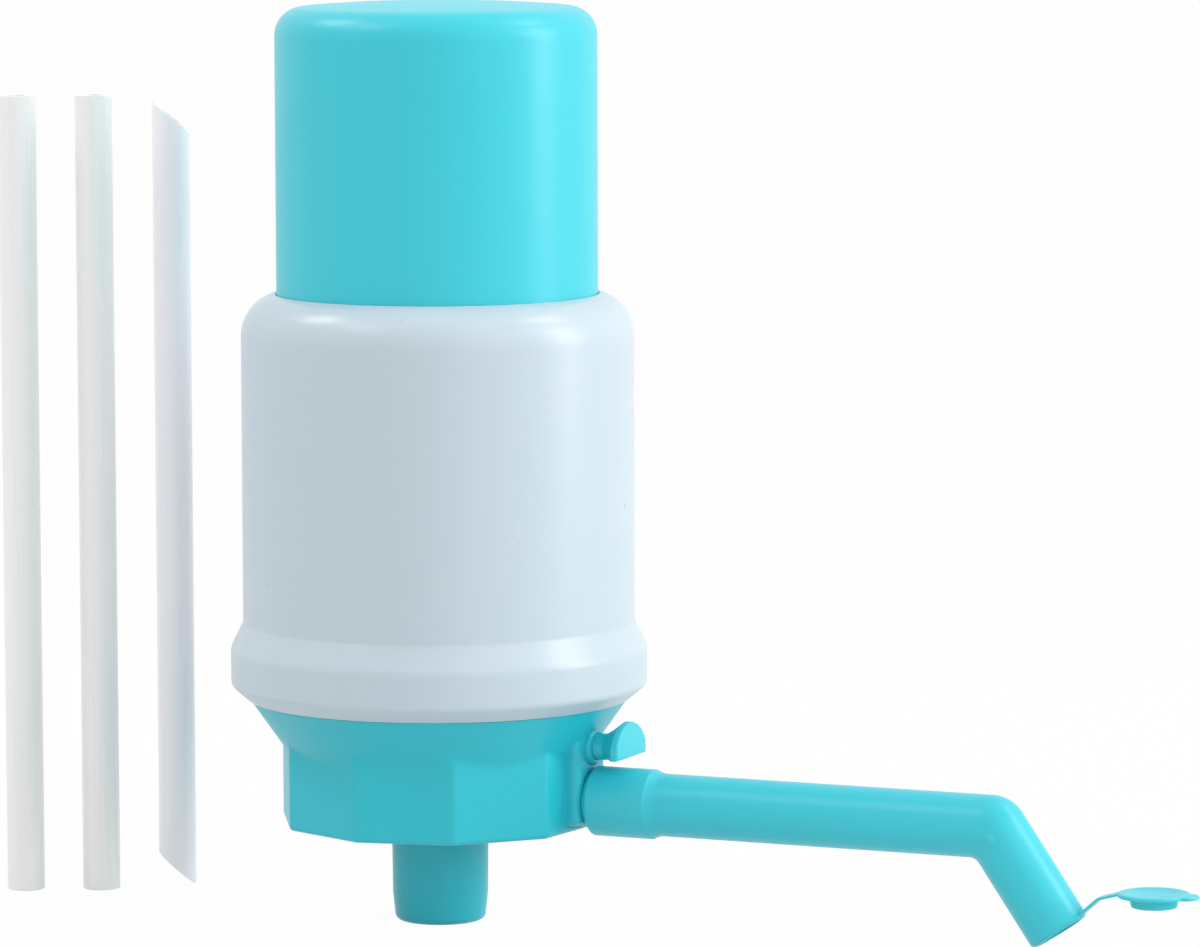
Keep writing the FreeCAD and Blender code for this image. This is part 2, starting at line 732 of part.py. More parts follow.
# ---------------------------------------------------------------------------------------------
# Vent button
# ---------------------------------------------------------------------------------------------
def pad_section(x, spread):
    """Outline of the button at x: the round stem at spread 0, the D-shaped pad at spread 1."""
    slant = vent_stem_r * math.sqrt(0.5)
    pad_top_z = pad_bottom_z + pad_h
    pad_side_z = pad_bottom_z + pad_side_h
    pad_arc_z = (pad_side_z + 3 * pad_top_z) / 4
    stem_to_pad = [
        ((-slant, vent_axis_z - slant), (-pad_half_w, pad_bottom_z)),
        ((0, vent_axis_z - vent_stem_r), (0, pad_bottom_z - seat_gap)),
        ((slant, vent_axis_z - slant), (pad_half_w, pad_bottom_z)),
        ((vent_stem_r, vent_axis_z), (pad_half_w + seat_gap, pad_bottom_z + pad_side_h / 2)),
        ((slant, vent_axis_z + slant), (pad_half_w * 0.97, pad_side_z)),
        ((0, vent_axis_z + vent_stem_r), (0, pad_top_z)),
        ((-slant, vent_axis_z + slant), (-pad_half_w * 0.97, pad_side_z)),
        ((-vent_stem_r, vent_axis_z), (-pad_half_w - seat_gap, pad_bottom_z + pad_side_h / 2)),
    ]
    points = [Vector(x, stem[0] + (pad[0] - stem[0]) * spread, stem[1] + (pad[1] - stem[1]) * spread)
              for stem, pad in stem_to_pad]
    points.append(points[0])
    return Part.Wire([Part.Arc(points[k], points[k + 1], points[k + 2]).toShape() for k in range(0, 8, 2)])


def vent_button():
    """Thumb pad, flared hollow stem and the rod that carries the rubber disc."""
    stem_end_x = vent_guide_floor_x + vent_stroke + seat_gap
    pad_back_x = pad_face_x - pad_t
    sections = []
    for step in range(flare_steps + 1):
        turn = math.pi / 2 * step / flare_steps
        sections.append(pad_section(flare_start_x + (pad_back_x - flare_start_x) * math.sin(turn),
                                    1 - math.cos(turn)))
    flare = outward(Part.makeLoft(sections, True, False))
    pad = outward(Part.Face(pad_section(pad_back_x, 1)).extrude(Vector(pad_t, 0, 0)))
    face_edges = [edge for edge in pad.Edges if edge.BoundBox.XMin > pad_face_x - 1e-6]
    pad = pad.makeFillet(pad_t * 0.4, face_edges)
    stem = rod(vent_stem_r, vent_line(stem_end_x), vent_line(flare_start_x))
    bore = rod(vent_stem_bore_r, vent_line(stem_end_x - 1), vent_line(vent_bore_end_x))
    rod_end_x = vent_seat_x - vent_seal_t - vent_clip_t - seat_gap * 4
    inner_rod = rod(vent_rod_r, vent_line(rod_end_x), vent_line(vent_bore_end_x + seat_gap))
    return stem.fuse([flare, pad]).cut(bore).fuse([inner_rod]).removeSplitter().Solids[0]


def vent_seal():
    """Rubber disc that closes the vent."""
    face_x = vent_seat_x - seat_gap
    back_x = face_x - vent_seal_t
    outer = rod(vent_seal_r, vent_line(back_x), vent_line(face_x))
    return outer.cut(rod(vent_rod_r + seal_gap, vent_line(back_x - 1), vent_line(face_x + 1)))


def vent_retainer():
    """Push-on clip behind the rubber disc."""
    face_x = vent_seat_x - vent_seal_t - seat_gap * 2
    back_x = face_x - vent_clip_t
    outer = rod(vent_clip_r, vent_line(back_x), vent_line(face_x))
    return outer.cut(rod(vent_rod_r + seal_gap, vent_line(back_x - 1), vent_line(face_x + 1)))


def vent_spring():
    """Spring between the floor of the guide and the end of the stem's bore."""
    start_x = vent_guide_floor_x + seat_gap
    end_x = vent_bore_end_x - seat_gap
    coil_r = (vent_rod_r + vent_stem_bore_r) / 2
    spring = coil(coil_r, vent_spring_wire_r, end_x - start_x, vent_spring_turns)
    return laid(spring, vent_line(start_x), X_AXIS)


# ---------------------------------------------------------------------------------------------
# Housing and cap
# ---------------------------------------------------------------------------------------------
def pump_housing():
    """The milky casing: guide collar, rounded shoulder, barrel and flange."""
    outside = lathe([
        (0, housing_top_z + shoulder_slope * opening_r),
        (housing_r, shoulder_z, shoulder_round),
        (housing_r, flange_top_z, flange_root_round),
        (flange_r, flange_edge_z, flange_edge_round),
        (flange_r, lip_z + flange_foot_rise, flange_foot_round),
        (lip_r, lip_z),
        (0, lip_z),
    ])
    inside = lathe([
        (0, inner_shoulder_z + shoulder_slope * housing_bore_r),
        (housing_bore_r, inner_shoulder_z, shoulder_round - housing_wall),
        (housing_bore_r, flange_top_z),
        (cavity_r, flange_edge_z),
        (cavity_r, lip_top_z),
        (lip_r, lip_top_z),
        (lip_r, lip_z - 1),
        (0, lip_z - 1),
    ])
    collar = ring(opening_r - 1, guide_r, collar_guide_z, inner_shoulder_z + shoulder_slope * guide_r)
    opening = disc(opening_r, collar_guide_z - 1, housing_top_z * 2)
    return outside.cut(inside.cut(collar)).cut(opening).Solids[0]


def crown_points(radius, top_z, crown_r, round_r):
    """Points of a crowned top and its rounded edge: apex, crown middle, join, round middle, wall."""
    round_centre = Vector(radius - round_r, 0, 0)
    lean = math.asin(round_centre.x / (crown_r - round_r))
    round_centre.z = top_z - crown_r + (crown_r - round_r) * math.cos(lean)

    def on_crown(angle):
        return Vector(crown_r * math.sin(angle), 0, top_z - crown_r + crown_r * math.cos(angle))

    turn = (lean + math.pi / 2) / 2
    round_middle = round_centre + Vector(round_r * math.sin(turn), 0, round_r * math.cos(turn))
    wall = round_centre + Vector(round_r, 0, 0)
    return [Vector(0, 0, top_z), on_crown(lean / 2), on_crown(lean), round_middle, wall]


def push_cap():
    """The cap that the hand presses."""
    outer = crown_points(cap_r, cap_top_z, cap_crown_r, cap_round)
    inner = crown_points(cap_in_r, cap_top_z - cap_wall, cap_crown_r - cap_wall, cap_round - cap_wall)
    guide_r_out = housing_bore_r - cap_gap
    slope_foot_z = cap_stop_z - cap_guide_slope_h
    foot_z = slope_foot_z - cap_guide_h
    stop_r = cap_r + cap_stop_w
    turns = [
        outer[4], Vector(cap_r, 0, cap_stop_z), Vector(stop_r, 0, cap_stop_z), Vector(guide_r_out, 0, slope_foot_z),
        Vector(guide_r_out, 0, foot_z), Vector(cap_in_r, 0, foot_z), inner[4],
    ]
    edges = [
        Part.Arc(outer[0], outer[1], outer[2]).toShape(),
        Part.Arc(outer[2], outer[3], outer[4]).toShape(),
    ]
    edges += [Part.LineSegment(start, end).toShape() for start, end in zip(turns, turns[1:])]
    edges += [
        Part.Arc(inner[4], inner[3], inner[2]).toShape(),
        Part.Arc(inner[2], inner[1], inner[0]).toShape(),
        Part.LineSegment(inner[0], outer[0]).toShape(),
    ]
    return outward(Part.Face(Part.Wire(edges)).revolve(ORIGIN, Z_AXIS, 360))


# ---------------------------------------------------------------------------------------------
# Pumping parts
# ---------------------------------------------------------------------------------------------
def bellows():
    """The corrugated air chamber, from the valve plate to the disc in the cap."""
    cuff_top_z = bellows_foot_z + bellows_wall + bellows_cuff_h
    folds_top_z = head_z - head_spigot_h
    pitch = (folds_top_z - cuff_top_z) / bellows_folds
    outer = [
        (bellows_flange_r, bellows_foot_z),
        (bellows_flange_r, bellows_foot_z + bellows_wall),
        (bellows_cuff_r, bellows_foot_z + bellows_wall),
        (bellows_cuff_r, cuff_top_z),
    ]
    folds = []
    for index in range(bellows_folds):
        base_z = cuff_top_z + index * pitch
        folds.append((bellows_root_r, base_z + pitch * 0.5))
        if index < bellows_folds - 1:
            folds.append((bellows_crest_r, base_z + pitch))
    outer += folds
    outer += [(bellows_cuff_r, folds_top_z), (bellows_cuff_r, bellows_top_z)]
    inner = [(bellows_cuff_r - bellows_wall, bellows_top_z), (bellows_cuff_r - bellows_wall, folds_top_z)]
    inner += [(radius - bellows_wall, height) for radius, height in reversed(folds)]
    inner += [(bellows_cuff_r - bellows_wall, cuff_top_z), (bellows_cuff_r - bellows_wall, bellows_foot_z)]
    return lathe(outer + inner)


def valve_ports(centre_z, thickness):
    """Stem hole and air ports for an umbrella valve."""
    stem_hole = disc(valve_stem_r + free_gap, centre_z - 1, centre_z + thickness + 1)
    port = Part.makeCylinder(valve_port_r, thickness + 2, Vector(valve_port_ring_r, 0, centre_z - 1))
    return [stem_hole] + around(port, valve_port_count)


def umbrella_valve(face_z, thickness):
    """Rubber umbrella valve that hangs under a plate whose underside is at face_z."""
    skirt_top_z = face_z - seat_gap
    bulb_z = face_z + thickness + valve_lift + seat_gap * 2
    return lathe([
        (0, skirt_top_z - valve_disc_t),
        (valve_disc_r * 0.5, skirt_top_z - valve_disc_t),
        (valve_disc_r, skirt_top_z - valve_disc_t * 0.4),
        (valve_disc_r, skirt_top_z),
        (valve_stem_r, skirt_top_z),
        (valve_stem_r, bulb_z),
        (valve_bulb_r, bulb_z),
        (valve_stem_r, bulb_z + valve_bulb_h),
        (0, bulb_z + valve_bulb_h),
    ])


def bellows_head():
    """The disc in the cap that closes the bellows and carries the inlet valve."""
    spigot_r = bellows_cuff_r - bellows_wall - seat_gap
    cap_inner_top_z = cap_top_z - cap_wall
    ring_top_z = cap_inner_top_z - head_ring_r ** 2 / (2 * (cap_crown_r - cap_wall)) - seat_gap
    disc_top_z = head_z + head_disc_t
    head = disc(head_disc_r, head_z, disc_top_z)
    spigot = ring(spigot_r - head_spigot_wall, spigot_r, head_z - head_spigot_h, head_z)
    stand = ring(head_ring_r - head_ring_wall, head_ring_r, disc_top_z, ring_top_z)
    spring_seat = ring(spring_seat_r - spring_seat_wall, spring_seat_r, head_z - spring_seat_h, head_z)
    head = head.fuse([spigot, stand, spring_seat]).removeSplitter()
    notch = box(Vector(-head_disc_r, -head_notch_w / 2, disc_top_z + head_disc_t),
                Vector(head_disc_r, head_notch_w / 2, ring_top_z + 1))
    for cut in around(notch, 2, 0) + around(notch, 2, 90):
        head = head.cut(cut)
    for hole in valve_ports(head_z, head_disc_t):
        head = head.cut(hole)
    return head.Solids[0]


def head_clip():
    """Ring that clips the bellows' top cuff on the disc's spigot."""
    top_z = head_z - free_gap
    return ring(bellows_cuff_r + seat_gap, head_disc_r, top_z - head_clip_h, top_z)


def valve_plate():
    """The disc that closes the foot of the bellows."""
    rabbet_w = 2 * plate_seal_section_r + seal_gap * 3
    plate = lathe([
        (0, plate_z),
        (plate_r - rabbet_w, plate_z),
        (plate_r - rabbet_w, plate_z + 2 * plate_seal_section_r + seal_gap),
        (plate_r, plate_z + 2 * plate_seal_section_r + seal_gap),
        (plate_r, plate_top_z),
        (spring_seat_r, plate_top_z),
        (spring_seat_r, plate_top_z + spring_seat_h, 0.4),
        (spring_seat_r - spring_seat_wall, plate_top_z + spring_seat_h),
        (spring_seat_r - spring_seat_wall, plate_top_z),
        (0, plate_top_z),
    ])
    for hole in valve_ports(plate_z, plate_t):
        plate = plate.cut(hole)
    return plate.Solids[0]


def plate_seal():
    """Ring seal round the valve plate."""
    centre_r = skirt_in_r - seal_gap - plate_seal_section_r
    return Part.makeTorus(centre_r, plate_seal_section_r, Vector(0, 0, plate_z + plate_seal_section_r))


def bellows_clamp_ring():
    """Ring that holds the bellows' flange on the plate."""
    inner_r = bellows_cuff_r + free_gap * 5
    return ring(inner_r, plate_r, clamp_z, clamp_z + clamp_h)


def return_spring():
    """The spring that lifts the cap."""
    start_z = plate_top_z + seat_gap
    spring = coil(spring_coil_r, spring_wire_r, head_z - seat_gap - start_z, spring_turns)
    spring.translate(Vector(0, 0, start_z))
    return spring


# ---------------------------------------------------------------------------------------------
# Suction tubes
# ---------------------------------------------------------------------------------------------
def tube_place(index, setback):
    """Foot of one tube of the row."""
    turn = math.radians(tube_row_turn)
    along = Vector(math.cos(turn), math.sin(turn), 0)
    behind = Vector(-math.sin(turn), math.cos(turn), 0)
    return Vector(tube_row_x, tube_row_y, nozzle_bottom_z) + along * (index * tube_pitch) + behind * setback


def suction_tube(index):
    """A tube that is cut square at both ends."""
    tube = ring(tube_r - tube_wall, tube_r, 0, tube_length)
    tube.translate(tube_place(index, 0))
    return tube


def suction_tube_bevelled(index):
    """A tube that is cut at the same slant at both ends."""
    drop = 2 * tube_r * math.tan(math.radians(bevel_deg))
    half = 2 * tube_r
    tube = ring(tube_r - tube_wall, tube_r, 0, bevel_tube_length)
    slant = prism([(-half, drop * 1.5), (half, -drop * 0.5), (half, bevel_tube_length - drop * 1.5),
                   (-half, bevel_tube_length + drop * 0.5)], side_view, Vector(0, 2 * half, 0))
    slant.translate(Vector(0, -half, 0))
    tube = tube.common(slant)
    tube.rotate(ORIGIN, Z_AXIS, tube_row_turn)
    tube.translate(tube_place(index, bevel_tube_setback))
    return tube.Solids[0]


# ---------------------------------------------------------------------------------------------
# Write every piece
# ---------------------------------------------------------------------------------------------
def main():
    """Build the pump piece by piece."""
    os.makedirs("parts", exist_ok=True)
    save("push_cap", push_cap())
    save("pump_housing", pump_housing())
    base = base_moulding()
    save("base_adaptor", base_adaptor(base))
    save("neck_collar", neck_collar(base))
    save("nozzle_hub", nozzle_hub(base))
    save("spout_stub", spout_stub())
    save("suction_nozzle", suction_nozzle())
    save("nozzle_o_ring", nozzle_o_ring())
    save("neck_gasket", neck_gasket())
    spout = spout_moulding()
    save("spout_tube", spout_tube(spout))
    save("spout_elbow", spout_elbow(spout))
    save("spout_o_ring", spout_o_ring())
    save("lid_strap", lid_strap())
    save("spout_lid", spout_lid())
    save("vent_button", vent_button())
    save("vent_seal", vent_seal())
    save("vent_retainer", vent_retainer())
    save("vent_spring", vent_spring())
    save("bellows", bellows())
    save("return_spring", return_spring())
    save("bellows_head", bellows_head())
    save("head_clip", head_clip())
    save("inlet_valve", umbrella_valve(head_z, head_disc_t))
    save("valve_plate", valve_plate())
    save("outlet_valve", umbrella_valve(plate_z, plate_t))
    save("bellows_clamp_ring", bellows_clamp_ring())
    save("plate_seal", plate_seal())
    save("suction_tube_left", suction_tube(0))
    save("suction_tube_middle", suction_tube(1))
    save("suction_tube_bevelled", suction_tube_bevelled(2))


main()
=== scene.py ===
"""Water jug hand pump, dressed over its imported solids.

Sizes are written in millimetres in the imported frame: the origin is the centre of the collar's mouth,
+Z points up and +X points along the spout. Meshes are scaled to metres when they are finished.
"""

import json
import logging
import math
from collections.abc import Callable, Iterable, Sequence
from dataclasses import dataclass, field
from enum import Enum
from typing import ClassVar, Union

import bmesh
import bpy
from mathutils import Matrix, Vector

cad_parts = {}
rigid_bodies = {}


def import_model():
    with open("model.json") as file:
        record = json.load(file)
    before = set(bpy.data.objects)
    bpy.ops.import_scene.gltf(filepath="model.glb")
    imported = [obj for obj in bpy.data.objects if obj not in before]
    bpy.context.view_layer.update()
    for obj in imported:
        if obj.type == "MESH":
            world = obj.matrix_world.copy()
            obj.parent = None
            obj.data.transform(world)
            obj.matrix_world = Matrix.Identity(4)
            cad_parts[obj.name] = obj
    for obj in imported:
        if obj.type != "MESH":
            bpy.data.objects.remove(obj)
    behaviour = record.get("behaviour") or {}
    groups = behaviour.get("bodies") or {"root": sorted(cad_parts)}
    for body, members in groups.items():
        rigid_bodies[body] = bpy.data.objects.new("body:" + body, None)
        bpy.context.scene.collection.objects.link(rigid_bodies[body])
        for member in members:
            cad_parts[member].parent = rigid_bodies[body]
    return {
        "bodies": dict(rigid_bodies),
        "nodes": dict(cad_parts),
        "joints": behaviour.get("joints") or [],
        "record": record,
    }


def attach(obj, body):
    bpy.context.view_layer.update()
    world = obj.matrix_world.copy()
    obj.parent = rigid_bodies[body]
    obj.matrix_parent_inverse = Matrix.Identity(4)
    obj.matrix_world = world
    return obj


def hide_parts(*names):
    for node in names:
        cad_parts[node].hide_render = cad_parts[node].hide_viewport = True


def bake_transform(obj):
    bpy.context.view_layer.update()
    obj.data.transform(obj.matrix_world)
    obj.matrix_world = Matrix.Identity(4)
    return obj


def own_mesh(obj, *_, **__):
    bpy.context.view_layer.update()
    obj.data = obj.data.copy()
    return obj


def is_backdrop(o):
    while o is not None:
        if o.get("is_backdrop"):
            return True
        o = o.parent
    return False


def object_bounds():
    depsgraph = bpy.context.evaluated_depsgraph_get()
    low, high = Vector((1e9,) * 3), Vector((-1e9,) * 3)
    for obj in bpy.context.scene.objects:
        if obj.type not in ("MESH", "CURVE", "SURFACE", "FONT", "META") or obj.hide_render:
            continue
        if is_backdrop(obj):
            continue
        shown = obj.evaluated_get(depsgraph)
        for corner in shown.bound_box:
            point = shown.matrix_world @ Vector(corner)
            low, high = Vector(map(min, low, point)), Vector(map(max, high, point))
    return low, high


log = logging.getLogger("hand_pump")

MM = 0.001
FULL_TURN = 2.0 * math.pi
QUARTER = math.pi / 2
ON_AXIS = 1e-6
CAP_STROKE = 50.0
VENT_STROKE = 2.0
UP = Vector((0.0, 0.0, 1.0))
FORWARD = Vector((1.0, 0.0, 0.0))
SIDE = Vector((0.0, 1.0, 0.0))

Point = tuple[float, float]
Colour = tuple[float, float, float]
Value = Union["Signal", float, int, Sequence[float]]


class Body(Enum):
    """Bodies that pieces ride on."""

    BASE = "pump_base"
    CAP = "cap"
    SPOUT = "spout"
    LID = "lid"
    VENT = "vent"
    LEFT_TUBE = "tube_left"
    MIDDLE_TUBE = "tube_middle"
    BEVELLED_TUBE = "tube_bevelled"


class Slot(Enum):
    """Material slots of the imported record."""

    AQUA = "aqua_plastic"
    MILKY = "milky_plastic"
    TUBE = "clear_tube"
    WHITE = "white_plastic"
    BELLOWS = "bellows_plastic"
    SILICONE = "silicone"
    RUBBER = "black_rubber"
    STEEL = "spring_steel"


# ---------------------------------------------------------------------------------------------
# Finishes
# ---------------------------------------------------------------------------------------------
def shade(red: int, green: int, blue: int) -> Colour:
    """Turn a colour of 0 to 255 as a screen shows it into the linear one that shaders use.

    Args:
        red: Red, 0 to 255.
        green: Green, 0 to 255.
        blue: Blue, 0 to 255.

    Returns:
        The linear colour.
    """

    def linear(part: int) -> float:
        """One part of the colour."""
        share = part / 255.0
        return share / 12.92 if share <= 0.04045 else ((share + 0.055) / 1.055) ** 2.4

    return linear(red), linear(green), linear(blue)


class Signal:
    """A node socket that takes part in Python sums; each sum adds its Math node."""

    def __init__(self, bench: "Bench", socket: bpy.types.NodeSocket) -> None:
        """Keep the socket and the bench that its tree belongs to.

        Args:
            bench: The bench that adds nodes.
            socket: The output socket.
        """
        self.bench = bench
        self.socket = socket

    def _sum(self, operation: str, first: Value, second: Value) -> "Signal":
        """Add one Math node.

        Args:
            operation: Name of the operation.
            first: Its first value.
            second: Its second value.

        Returns:
            The result.
        """
        return self.bench.add("ShaderNodeMath", {"operation": operation}, {0: first, 1: second})

    def __add__(self, other: Value) -> "Signal":
        """This plus other."""
        return self._sum("ADD", self, other)

    def __radd__(self, other: Value) -> "Signal":
        """Other plus this."""
        return self._sum("ADD", other, self)

    def __sub__(self, other: Value) -> "Signal":
        """This minus other."""
        return self._sum("SUBTRACT", self, other)

    def __rsub__(self, other: Value) -> "Signal":
        """Other minus this."""
        return self._sum("SUBTRACT", other, self)

    def __mul__(self, other: Value) -> "Signal":
        """This times other."""
        return self._sum("MULTIPLY", self, other)

    def __rmul__(self, other: Value) -> "Signal":
        """Other times this."""
        return self._sum("MULTIPLY", other, self)

    def __pow__(self, other: Value) -> "Signal":
        """This to the power of other."""
        return self._sum("POWER", self, other)

    def larger(self, other: Value) -> "Signal":
        """The larger of this and other."""
        return self._sum("MAXIMUM", self, other)


class Bench:
    """Adds nodes to one node tree, of a material, the world or a modifier."""

    def __init__(self, tree: bpy.types.NodeTree) -> None:
        """Clear the tree and work on it.

        Args:
            tree: The node tree.
        """
        self.tree = tree
        tree.nodes.clear()

    def add(self, kind: str, settings: dict[str, object], inputs: dict[Union[str, int], Value],
            output: Union[str, int] = 0) -> Signal:
        """Add a node of any kind.

        Args:
            kind: Type name of the node.
            settings: Its properties, set first; "stops" gives a ramp's positions and colours.
            inputs: Values or links of its sockets, by name or number.
            output: Name or number of the socket to return.

        Returns:
            One output of the node.
        """
        node = self.tree.nodes.new(kind)
        for name, value in settings.items():
            if name == "stops":
                ramp = node.color_ramp.elements
                while len(ramp) < len(value):
                    ramp.new(0.5)
                for stop, (position, colour) in zip(ramp, value):
                    stop.position = position
                    stop.color = (*colour, 1.0)
            else:
                setattr(node, name, value)
        for name, value in inputs.items():
            socket = node.inputs[name]
            if isinstance(value, Signal):
                self.tree.links.new(value.socket, socket)
            elif isinstance(value, (tuple, list)) and len(value) == 3 and socket.type == "RGBA":
                socket.default_value = (*value, 1.0)
            else:
                socket.default_value = value
        return Signal(self, node.outputs[output]) if node.outputs else Signal(self, None)

    def blend(self, share: Value, first: Value, second: Value) -> Signal:
        """Mix two colours.

        Args:
            share: Share of the second colour.
            first: The first colour.
            second: The second colour.

        Returns:
            The mixed colour.
        """
        return self.add("ShaderNodeMix", {"data_type": "RGBA", "clamp_factor": True},
                        {0: share, 6: first, 7: second}, 2)

    def cloud(self, place: Signal, scale: float, detail: float = 2.0) -> Signal:
        """Noise from 0 to 1 over the piece.

        Args:
            place: Coordinates.
            scale: Waves in a metre.
            detail: Octaves.

        Returns:
            The noise.
        """
        return self.add("ShaderNodeTexNoise", {"noise_dimensions": "3D"},
                        {"Vector": place, "Scale": scale, "Detail": detail, "Roughness": 0.55}, "Fac")

    def stretched(self, place: Signal, across: float, along: float) -> Signal:
        """Coordinates that draw a pattern out along Z.

        Args:
            place: Coordinates.
            across: Scale across.
            along: Scale along Z.

        Returns:
            The scaled coordinates.
        """
        return self.add("ShaderNodeVectorMath", {"operation": "MULTIPLY"},
                        {0: place, 1: (across, across, along)})

    def relief(self, height: Signal, depth_mm: float, strength: float) -> Signal:
        """Turn a height into a bumped normal.

        Args:
            height: Height from 0 to 1.
            depth_mm: What a height of 1 stands for.
            strength: Strength of the bump.

        Returns:
            The normal.
        """
        return self.add("ShaderNodeBump", {},
                        {"Height": height, "Distance": depth_mm * MM, "Strength": strength})


def new_material(name: str) -> tuple[bpy.types.Material, Bench, Signal]:
    """Start a material.

    Args:
        name: Name of the finish.

    Returns:
        The material, its bench and its Object coordinates.
    """
    material = bpy.data.materials.new(name)
    material.use_nodes = True
    bench = Bench(material.node_tree)
    place = bench.add("ShaderNodeTexCoord", {}, {}, "Object")
    return material, bench, place


def close_material(bench: Bench, inputs: dict[Union[str, int], Value]) -> None:
    """End a material in its Principled shader.

    Args:
        bench: The material's bench.
        inputs: Values and links of the shader.
    """
    shader = bench.add("ShaderNodeBsdfPrincipled", {}, inputs)
    bench.add("ShaderNodeOutputMaterial", {}, {"Surface": shader})


@dataclass(frozen=True)
class MouldedPlastic:
    """Satin moulded plastic: slow clouds in its colour and gloss, and a fine moulded grain.

    The patterns' sizes are in waves in a metre; the flow has one across Z and one along it.
    """

    drift_waves: ClassVar[float] = 22.0
    flow_waves: ClassVar[Point] = (160.0, 12.0)
    mottle_waves: ClassVar[float] = 420.0
    grain_waves: ClassVar[float] = 2600.0
    grain_depth: ClassVar[float] = 0.03
    refraction: ClassVar[float] = 1.48
    glow_depth: ClassVar[float] = 0.004

    name: str
    colour: Colour
    deep: Colour
    roughness: float = 0.36
    gloss_spread: float = 0.08
    grain: float = 0.12
    glow: float = 0.0

    def make(self) -> bpy.types.Material:
        """Build the material.

        Returns:
            The material.
        """
        material, bench, place = new_material(self.name)
        drift = bench.cloud(place, self.drift_waves, 3.0)
        flow = bench.cloud(bench.stretched(place, *self.flow_waves), 1.0, 3.0)
        mottle = bench.cloud(place, self.mottle_waves)
        fine = bench.cloud(place, self.grain_waves)
        tone = drift * 0.55 + flow * 0.25 + mottle * 0.2
        inputs = {
            "Base Color": bench.blend(tone, self.colour, self.deep),
            "Roughness": self.roughness + (mottle * 0.5 + drift * 0.5 - 0.5) * self.gloss_spread * 2.0,
            "Normal": bench.relief(fine * 0.6 + mottle * 0.4, self.grain_depth, self.grain),
            "IOR": self.refraction,
        }
        if self.glow:
            inputs["Subsurface Weight"] = self.glow
            inputs["Subsurface Radius"] = (1.0, 1.1, 1.2)
            inputs["Subsurface Scale"] = self.glow_depth
        close_material(bench, inputs)
        return material


@dataclass(frozen=True)
class TubeVinyl:
    """Half-clear tubing with fine lines drawn along it; its patterns are in waves in a metre."""

    line_waves: ClassVar[Point] = (1500.0, 4.0)
    haze_waves: ClassVar[Point] = (260.0, 9.0)
    line_stops: ClassVar[Point] = (0.42, 0.62)
    line_depth: ClassVar[float] = 0.02
    line_relief: ClassVar[float] = 0.12
    gloss: ClassVar[Point] = (0.2, 0.14)
    refraction: ClassVar[float] = 1.4

    name: str
    colour: Colour
    line_colour: Colour
    clarity: float = 0.05

    def make(self) -> bpy.types.Material:
        """Build the material.

        Returns:
            The material.
        """
        material, bench, place = new_material(self.name)
        lines = bench.cloud(bench.stretched(place, *self.line_waves), 1.0, 3.0)
        haze = bench.cloud(bench.stretched(place, *self.haze_waves), 1.0)
        low, high = self.line_stops
        rough, rough_spread = self.gloss
        sharp = bench.add("ShaderNodeValToRGB",
                          {"stops": [(low, (0.0, 0.0, 0.0)), (high, (1.0, 1.0, 1.0))]}, {"Fac": lines})
        close_material(bench, {
            "Base Color": bench.blend(sharp * 0.2 + haze * 0.4, self.colour, self.line_colour),
            "Roughness": rough + haze * rough_spread,
            "Transmission Weight": self.clarity,
            "IOR": self.refraction,
            "Normal": bench.relief(lines, self.line_depth, self.line_relief),
        })
        return material


@dataclass(frozen=True)
class SoftRubber:
    """Rubber or silicone with a dull, faintly dusty skin; its patterns are in waves in a metre."""

    dust_waves: ClassVar[float] = 300.0
    dust_roughness: ClassVar[float] = 0.2
    grain_waves: ClassVar[float] = 4000.0
    grain_depth: ClassVar[float] = 0.02
    sheen: ClassVar[float] = 0.1

    name: str
    colour: Colour
    dust: Colour
    roughness: float = 0.6
    grain: float = 0.3

    def make(self) -> bpy.types.Material:
        """Build the material.

        Returns:
            The material.
        """
        material, bench, place = new_material(self.name)
        dusty = bench.cloud(place, self.dust_waves, 4.0)
        fine = bench.cloud(place, self.grain_waves)
        close_material(bench, {
            "Base Color": bench.blend(dusty ** 2.0, self.colour, self.dust),
            "Roughness": self.roughness + dusty * self.dust_roughness,
            "Normal": bench.relief(fine, self.grain_depth, self.grain),
            "Sheen Weight": self.sheen,
        })
        return material


@dataclass(frozen=True)
class DrawnSteel:
    """Bright drawn wire with fine scratches along it; its patterns are in waves in a metre."""

    scratch_waves: ClassVar[Point] = (900.0, 5200.0)
    stain_waves: ClassVar[float] = 160.0
    scratch_depth: ClassVar[float] = 0.01
    scratch_relief: ClassVar[float] = 0.2
    gloss: ClassVar[Point] = (0.22, 0.22)

    name: str
    colour: Colour
    dull: Colour

    def make(self) -> bpy.types.Material:
        """Build the material.

        Returns:
            The material.
        """
        material, bench, place = new_material(self.name)
        scratch = bench.cloud(bench.stretched(place, *self.scratch_waves), 1.0, 3.0)
        stain = bench.cloud(place, self.stain_waves, 3.0)
        rough, rough_spread = self.gloss
        close_material(bench, {
            "Base Color": bench.blend(stain * 0.7, self.colour, self.dull),
            "Metallic": 1.0,
            "Roughness": rough + scratch * rough_spread,
            "Normal": bench.relief(scratch, self.scratch_depth, self.scratch_relief),
        })
        return material


